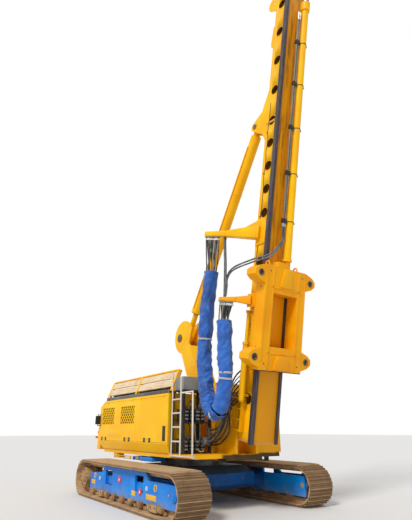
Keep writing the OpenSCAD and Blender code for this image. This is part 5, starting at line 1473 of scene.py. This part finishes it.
def makeLeaderParts():
    makeLeaderBox()
    side = leader["side"]
    # rims round the holes, on both sides
    mesh = Shape(onLeader)
    for x in (-side, side):
        for s in leader["holes"]:
            if s < 16.2:
                mesh.ring((x, leader["holeDepth"], s), (1, 0, 0), leader["hole"] + 0.004, 0.007, turns=36, around=6)
    # joint flanges across the box, and their bolts
    steel = Shape(onLeader)
    for s in leader["seams"]:
        for way in (-1, 1):
            mesh.block((way * side, 0.115, s - 0.03), (way * (side + 0.012), 0.548, s + 0.03), 0.003)
            for i in range(7):
                steel.bolt((way * (side + 0.011), 0.15 + i * 0.062, s), (way, 0, 0), 0.011, 0.012)
        mesh.block((-side, 0.548, s - 0.03), (side, 0.56, s + 0.03), 0.003)
        for i in range(9):
            steel.bolt((-0.28 + i * 0.07, 0.559, s), (0, 1, 0), 0.011, 0.012)
    # weld beads along the box's edges
    for x in (-side, side):
        mesh.rod((x, 0.549, 1.8), (x, 0.549, 16.4), 0.006, 6)
    mesh.make("leader_rims", "leader", "leaderYellow")
    # rail joints and end bolts
    for way in (-1, 1):
        for i in range(24):
            s = 0.5 + i * 0.69
            steel.rod((way * 0.343, -0.002, s), (way * 0.343, 0.01, s), 0.011, 6)
    # the foot: guards, fins' stiffeners, pin caps
    orange = Shape(onLeader)
    for way in (-1, 1):
        steel.turned(onLeader.inverted() @ onDeck @ Vector((way * 0.33, *leader["tilt"])), (way, 0, 0),
                     ((0.095, -0.02), (0.095, 0.026), (0.08, 0.034), (0.03, 0.036), (0.026, 0.048), (0, 0.048)))
        for s in leader["fins"]:
            orange.plate(((way * 0.19, 0.552, s + 0.025), (way * 0.19, 0.64, s + 0.025),
                          (way * 0.19, 0.552, s + 0.16)), (-way * 0.01, 0, 0))
    # outer fins and their edge plate, beside the foot
    for way in (-1, 1):
        for s in (0.22, 0.46, 0.7, 0.92):
            orange.plate([(way * x, d, s) for x, d in ((0.32, 0.4), (0.32, 0.54), (0.395, 0.56), (0.395, 0.79),
                                                       (0.47, 0.79), (0.47, 0.4))], (0, 0, 0.02))
        orange.block((way * 0.395, 0.775, 0.2), (way * 0.472, 0.795, 0.96), 0.003)
        orange.block((way * 0.32, 0.4, 0.2), (way * 0.472, 0.385, 0.96), 0.003)
    orange.make("foot_stiffeners", "leader", "leaderYellow")
    # head: sheave pin caps, top plate bolts, rope guards
    for d in (-0.16, 0.68):
        for way in (-1, 1):
            steel.turned((way * 0.095, d, 16.86), (way, 0, 0), ((0.06, -0.01), (0.06, 0.01), (0.048, 0.018),
                                                                (0, 0.019)))
    for x in (-0.3, -0.15, 0.15, 0.3):
        for d in (0.06, 0.3, 0.53):
            steel.bolt((x, d, 16.558), (0, 0, 1), 0.014, 0.016)
    steel.make("leader_bolts", "leader", "boltSteel")
    mesh = Shape(onLeader)
    for d in (-0.4, 0.92):
        mesh.rod((-0.085, d, 16.95), (0.085, d, 16.95), 0.013, 10)
    for d in (-0.38, 0.9):
        for x in (-0.075, 0.075):
            inward = 0.1 if d < 0 else -0.1
            mesh.rod((x, d - 0.02 if d < 0 else d + 0.02, 16.95), (x, d + inward, 16.9), 0.009, 8)
    mesh.make("rope_guards", "leader", "leaderYellow")
    # a cable clipped along the side, in slack loops past the holes
    run, spots = leader["cable"], []
    x = -side - 0.012
    clips = Shape(onLeader)
    s, i = run["low"], 0
    while s < run["high"]:
        sway = 0.016 * math.sin(i * 2.1) + 0.012 * math.sin(i * 0.7)
        spots.append(onLeader @ Vector((x, run["depth"] - abs(sway) * 1.6 * (i % 4 != 0), s)))
        if i % 4 == 0:
            clips.block((x - 0.014, run["depth"] - 0.02, s - 0.012), (x + 0.013, run["depth"] + 0.02, s + 0.012),
                        0.003)
        s += 0.3
        i += 1
    route = smoothRoute(spots, 3)
    makeHose("side_cable", route, run["thick"], "hoseBlack", "leader", sides=8)
    clips.make("cable_clips", "leader", "blackIron")


# Sledge: bushings, ribs, lifting rings, bolts and pipe clamps on its cylinder
sledge = {
    "half": 0.65, "front": -0.34, "back": -0.008, "low": 1.65, "high": 4.08, "window": (0.38, 2.19, 3.43),
    "eyes": ((0.8, 1.93), (0.8, 3.85)),
}


def makeSledgeParts():
    front, half = sledge["front"], sledge["half"]
    wide, low, high = sledge["window"]
    bushes, frame, steel, dark = (Shape(onLeader) for _ in range(4))
    for way in (-1, 1):
        for x, s in sledge["eyes"]:
            for d, out in ((front, -1), (sledge["back"], 1)):
                bushes.turned((way * x, d, s), (0, out, 0), ((0.0555, -0.1), (0.0555, 0.01), (0.078, 0.01),
                                                             (0.082, 0.006), (0.082, -0.001)))
                # a near-black plug sunk in each bushing, painted shade inside the bore
                dark.rod((way * x, d - out * 0.012, s), (way * x, d - out * 0.06, s), 0.054, 24)
        # stiffening ribs beside the window and along the outer edge
        frame.block((way * (wide + 0.012), front - 0.012, sledge["low"] + 0.05),
                    (way * (wide + 0.06), front + 0.002, sledge["high"] - 0.05), 0.003)
        frame.block((way * (half - 0.05), front - 0.01, sledge["low"] + 0.2),
                    (way * (half - 0.012), front + 0.002, sledge["high"] - 0.2), 0.003)
        for i in range(2):
            steel.bolt((way * 0.52, front, 1.8 + i * 2.135), (0, -1, 0), 0.013, 0.014)
            steel.bolt((way * half, -0.18, 2.15 + i * 1.4), (way, 0, 0), 0.013, 0.014)
    # horizontal ribs over and under the window, centre gusset
    for s in (low - 0.14, high + 0.14):
        frame.block((-wide - 0.1, front - 0.012, s - 0.02), (wide + 0.1, front + 0.002, s + 0.02), 0.003)
    frame.plate(((-0.2, front + 0.001, high + 0.16), (0.2, front + 0.001, high + 0.16), (0.1, front + 0.001, 4.06),
                 (-0.1, front + 0.001, 4.06)), (0, -0.045, 0), 0.006)
    frame.plate(((-0.26, front + 0.001, 1.68), (0.26, front + 0.001, 1.68), (0.16, front + 0.001, low - 0.18),
                 (-0.16, front + 0.001, low - 0.18)), (0, -0.04, 0), 0.006)
    frame.make("sledge_ribs", "sledge", "sledgeYellow")
    bushes.make("sledge_bushings", "sledge", "greasedSteel")
    # lifting rings on top; a black strip along the lower edge, painted shade under the sledge
    rings = Shape(onLeader)
    for x in (0.42, -0.5):
        rings.ring((x, -0.18, 4.135), (1, 0, 0), 0.06, 0.018)
        rings.block((x - 0.035, -0.25, 4.075), (x + 0.035, -0.11, 4.092), 0.005)
    rings.make("sledge_rings", "sledge", "sledgeYellow")
    # painted shade: a black strip under the sledge's lower edge
    dark.block((-half + 0.01, front - 0.006, sledge["low"] - 0.012), (half - 0.01, -0.02, sledge["low"] + 0.004),
               0.003)
    # black clamps on the pipes, with bright ends
    bright = Shape(onLeader)
    x0, d0 = leader["feed"]
    for s in leader["clamps"]:
        dark.block((-0.132, d0 - 0.04, s - 0.035), (-0.002, d0 + 0.04, s + 0.075), 0.006)
        dark.ring((x0, d0, s + 0.02), (0, 0, 1), 0.102, 0.01, turns=40)
    for x in leader["pipes"]:
        bright.turned((x, d0, 11.5), (0, 0, 1), ((0.021, -0.24), (0.027, -0.235), (0.027, -0.05), (0.021, -0.045),
                                                 (0.021, 0.0), (0, 0.001)), 16)
        bright.turned((x, d0, 5.2), (0, 0, -1), ((0.021, -0.06), (0.027, -0.055), (0.027, 0.03), (0.022, 0.035)),
                      16)
    steel.boltCircle((x0, d0, 11.9), (0, 0, 1), 0.115, 8, 0.01, 0.012)
    steel.boltCircle((x0, d0, 4.36), (0, 0, 1), 0.108, 8, 0.008, 0.01)
    steel.make("sledge_bolts", "sledge", "boltSteel")
    dark.make("sledge_dark", "sledge", "blackIron")
    bright.make("pipe_ends", "sledge", "brightSteel")


# Boom and backstay: pin caps, gland ring and pipe. The stay's foot and how far its rod shows
stay = {"show": 0.9, "foot": (0, -3.4482, 10.0043)}
boom = {"pin": (0.35, 4.4), "cheek": 0.275}


def makeBoomParts():
    steel, caps = Shape(), Shape()
    pinY, pinZ = boom["pin"]
    for way in (-1, 1):
        x = way * (boom["cheek"] + 0.022)
        steel.turned((x, pinY, pinZ), (way, 0, 0), ((0.118, -0.01), (0.118, 0.006), (0.1, 0.014), (0.034, 0.016),
                                                    (0.03, 0.026), (0, 0.027)), 32)
        steel.boltCircle((x + way * 0.008, pinY, pinZ), (way, 0, 0), 0.082, 6, 0.01, 0.01)
    steel.make("boom_pin_caps", "upper_carriage", "boltSteel")
    # stay's ends: gland ring with bolts on the barrel
    foot = Vector(stay["foot"])
    long = (Vector((0, pinY, pinZ)) - foot).length
    axis = (Vector((0, pinY, pinZ)) - foot).normalized()
    steel = Shape()
    gland = foot + axis * (long - stay["show"])
    steel.turned(gland, axis, ((0.168, -0.02), (0.168, 0.004), (0.12, 0.016), (0.104, 0.04), (0.101, 0.041)), 40)
    side = Vector((1, 0, 0))
    other = axis.cross(side)
    for i in range(12):
        turn = math.radians(30 * i)
        out = side * math.cos(turn) + other * math.sin(turn)
        steel.bolt(gland + out * 0.145, axis, 0.012, 0.022)
    steel.make("gland_ring", "stay_barrel", "boltSteel")
    for way in (-1, 1):
        caps.turned(foot + Vector((way * 0.172, 0, 0)), (way, 0, 0),
                    ((0.075, 0), (0.075, 0.012), (0.06, 0.018), (0, 0.019)))
    caps.make("stay_pin_caps", "leader", "boltSteel")
    mesh = Shape()
    for share in (0.3, 0.62):
        spot = foot + axis * (long * share)
        mesh.ring(spot, axis, 0.152, 0.012, turns=40)
    pipeSide = side * -0.175
    mesh.rod(foot + axis * 0.6 + pipeSide, foot + axis * (long - stay["show"] - 0.15) + pipeSide, 0.016, 12)
    mesh.make("stay_pipe", "stay_barrel", "leaderYellow")


# Floor and light: white world for the camera, soft daylight on the machine
light = {"world": 0.54, "sun": 1.9, "sunTurn": (48, 0, -62), "soft": 14.0, "floor": "#e9e8e6", "floorSize": 160.0}


def setStage():
    world = bpy.data.worlds.new("studio")
    bpy.context.scene.world = world
    world.use_nodes = True
    tree = world.node_tree
    tree.nodes.clear()
    path = put(tree, "LightPath").outputs
    camera, glossy, through = (Value(tree, path[f"Is {kind} Ray"]) for kind in ("Camera", "Glossy", "Transmission"))
    strength = (camera | glossy | through) * (1 - light["world"]) + light["world"]
    back = take(tree, "Background", 0, {"Color": (1, 1, 1, 1), "Strength": strength})
    put(tree, "OutputWorld", {0: back})
    sun = bpy.data.lights.new("softSun", "SUN")
    sun.energy = light["sun"]
    sun.angle = math.radians(light["soft"])
    lamp = bpy.data.objects.new("softSun", sun)
    lamp.rotation_euler = [math.radians(a) for a in light["sunTurn"]]
    bpy.context.scene.collection.objects.link(lamp)
    mesh = bmesh.new()
    bmesh.ops.create_grid(mesh, x_segments=1, y_segments=1, size=light["floorSize"])
    material, tree, shader = newMaterial("studioFloor")
    shader.inputs["Base Color"].default_value = tint(light["floor"])
    shader.inputs["Roughness"].default_value = 0.9
    newObject("studioFloor", mesh, material)


setCamera()
makeMaterials()
paintNodes()
print("camera and materials are set")
for stage, makers in {
    "hoses and sleeves are made": (makeLoop, makeSupply, makeFeedHoses, makeSleeves),
    "upper carriage is dressed": (makeArms, makeHousingParts, makeCabParts, makeSeat, makeDeckParts,
                                  makeValveParts, makeFootHoses, makeUnderParts, makeRackParts),
    "undercarriage is dressed": (makeTrackParts,),
    "leader is dressed": (makeLeaderParts, makeSledgeParts, makeBoomParts),
}.items():
    for maker in makers:
        maker()
    print(stage)

setStage()
bpy.context.scene.view_settings.view_transform = "Standard"
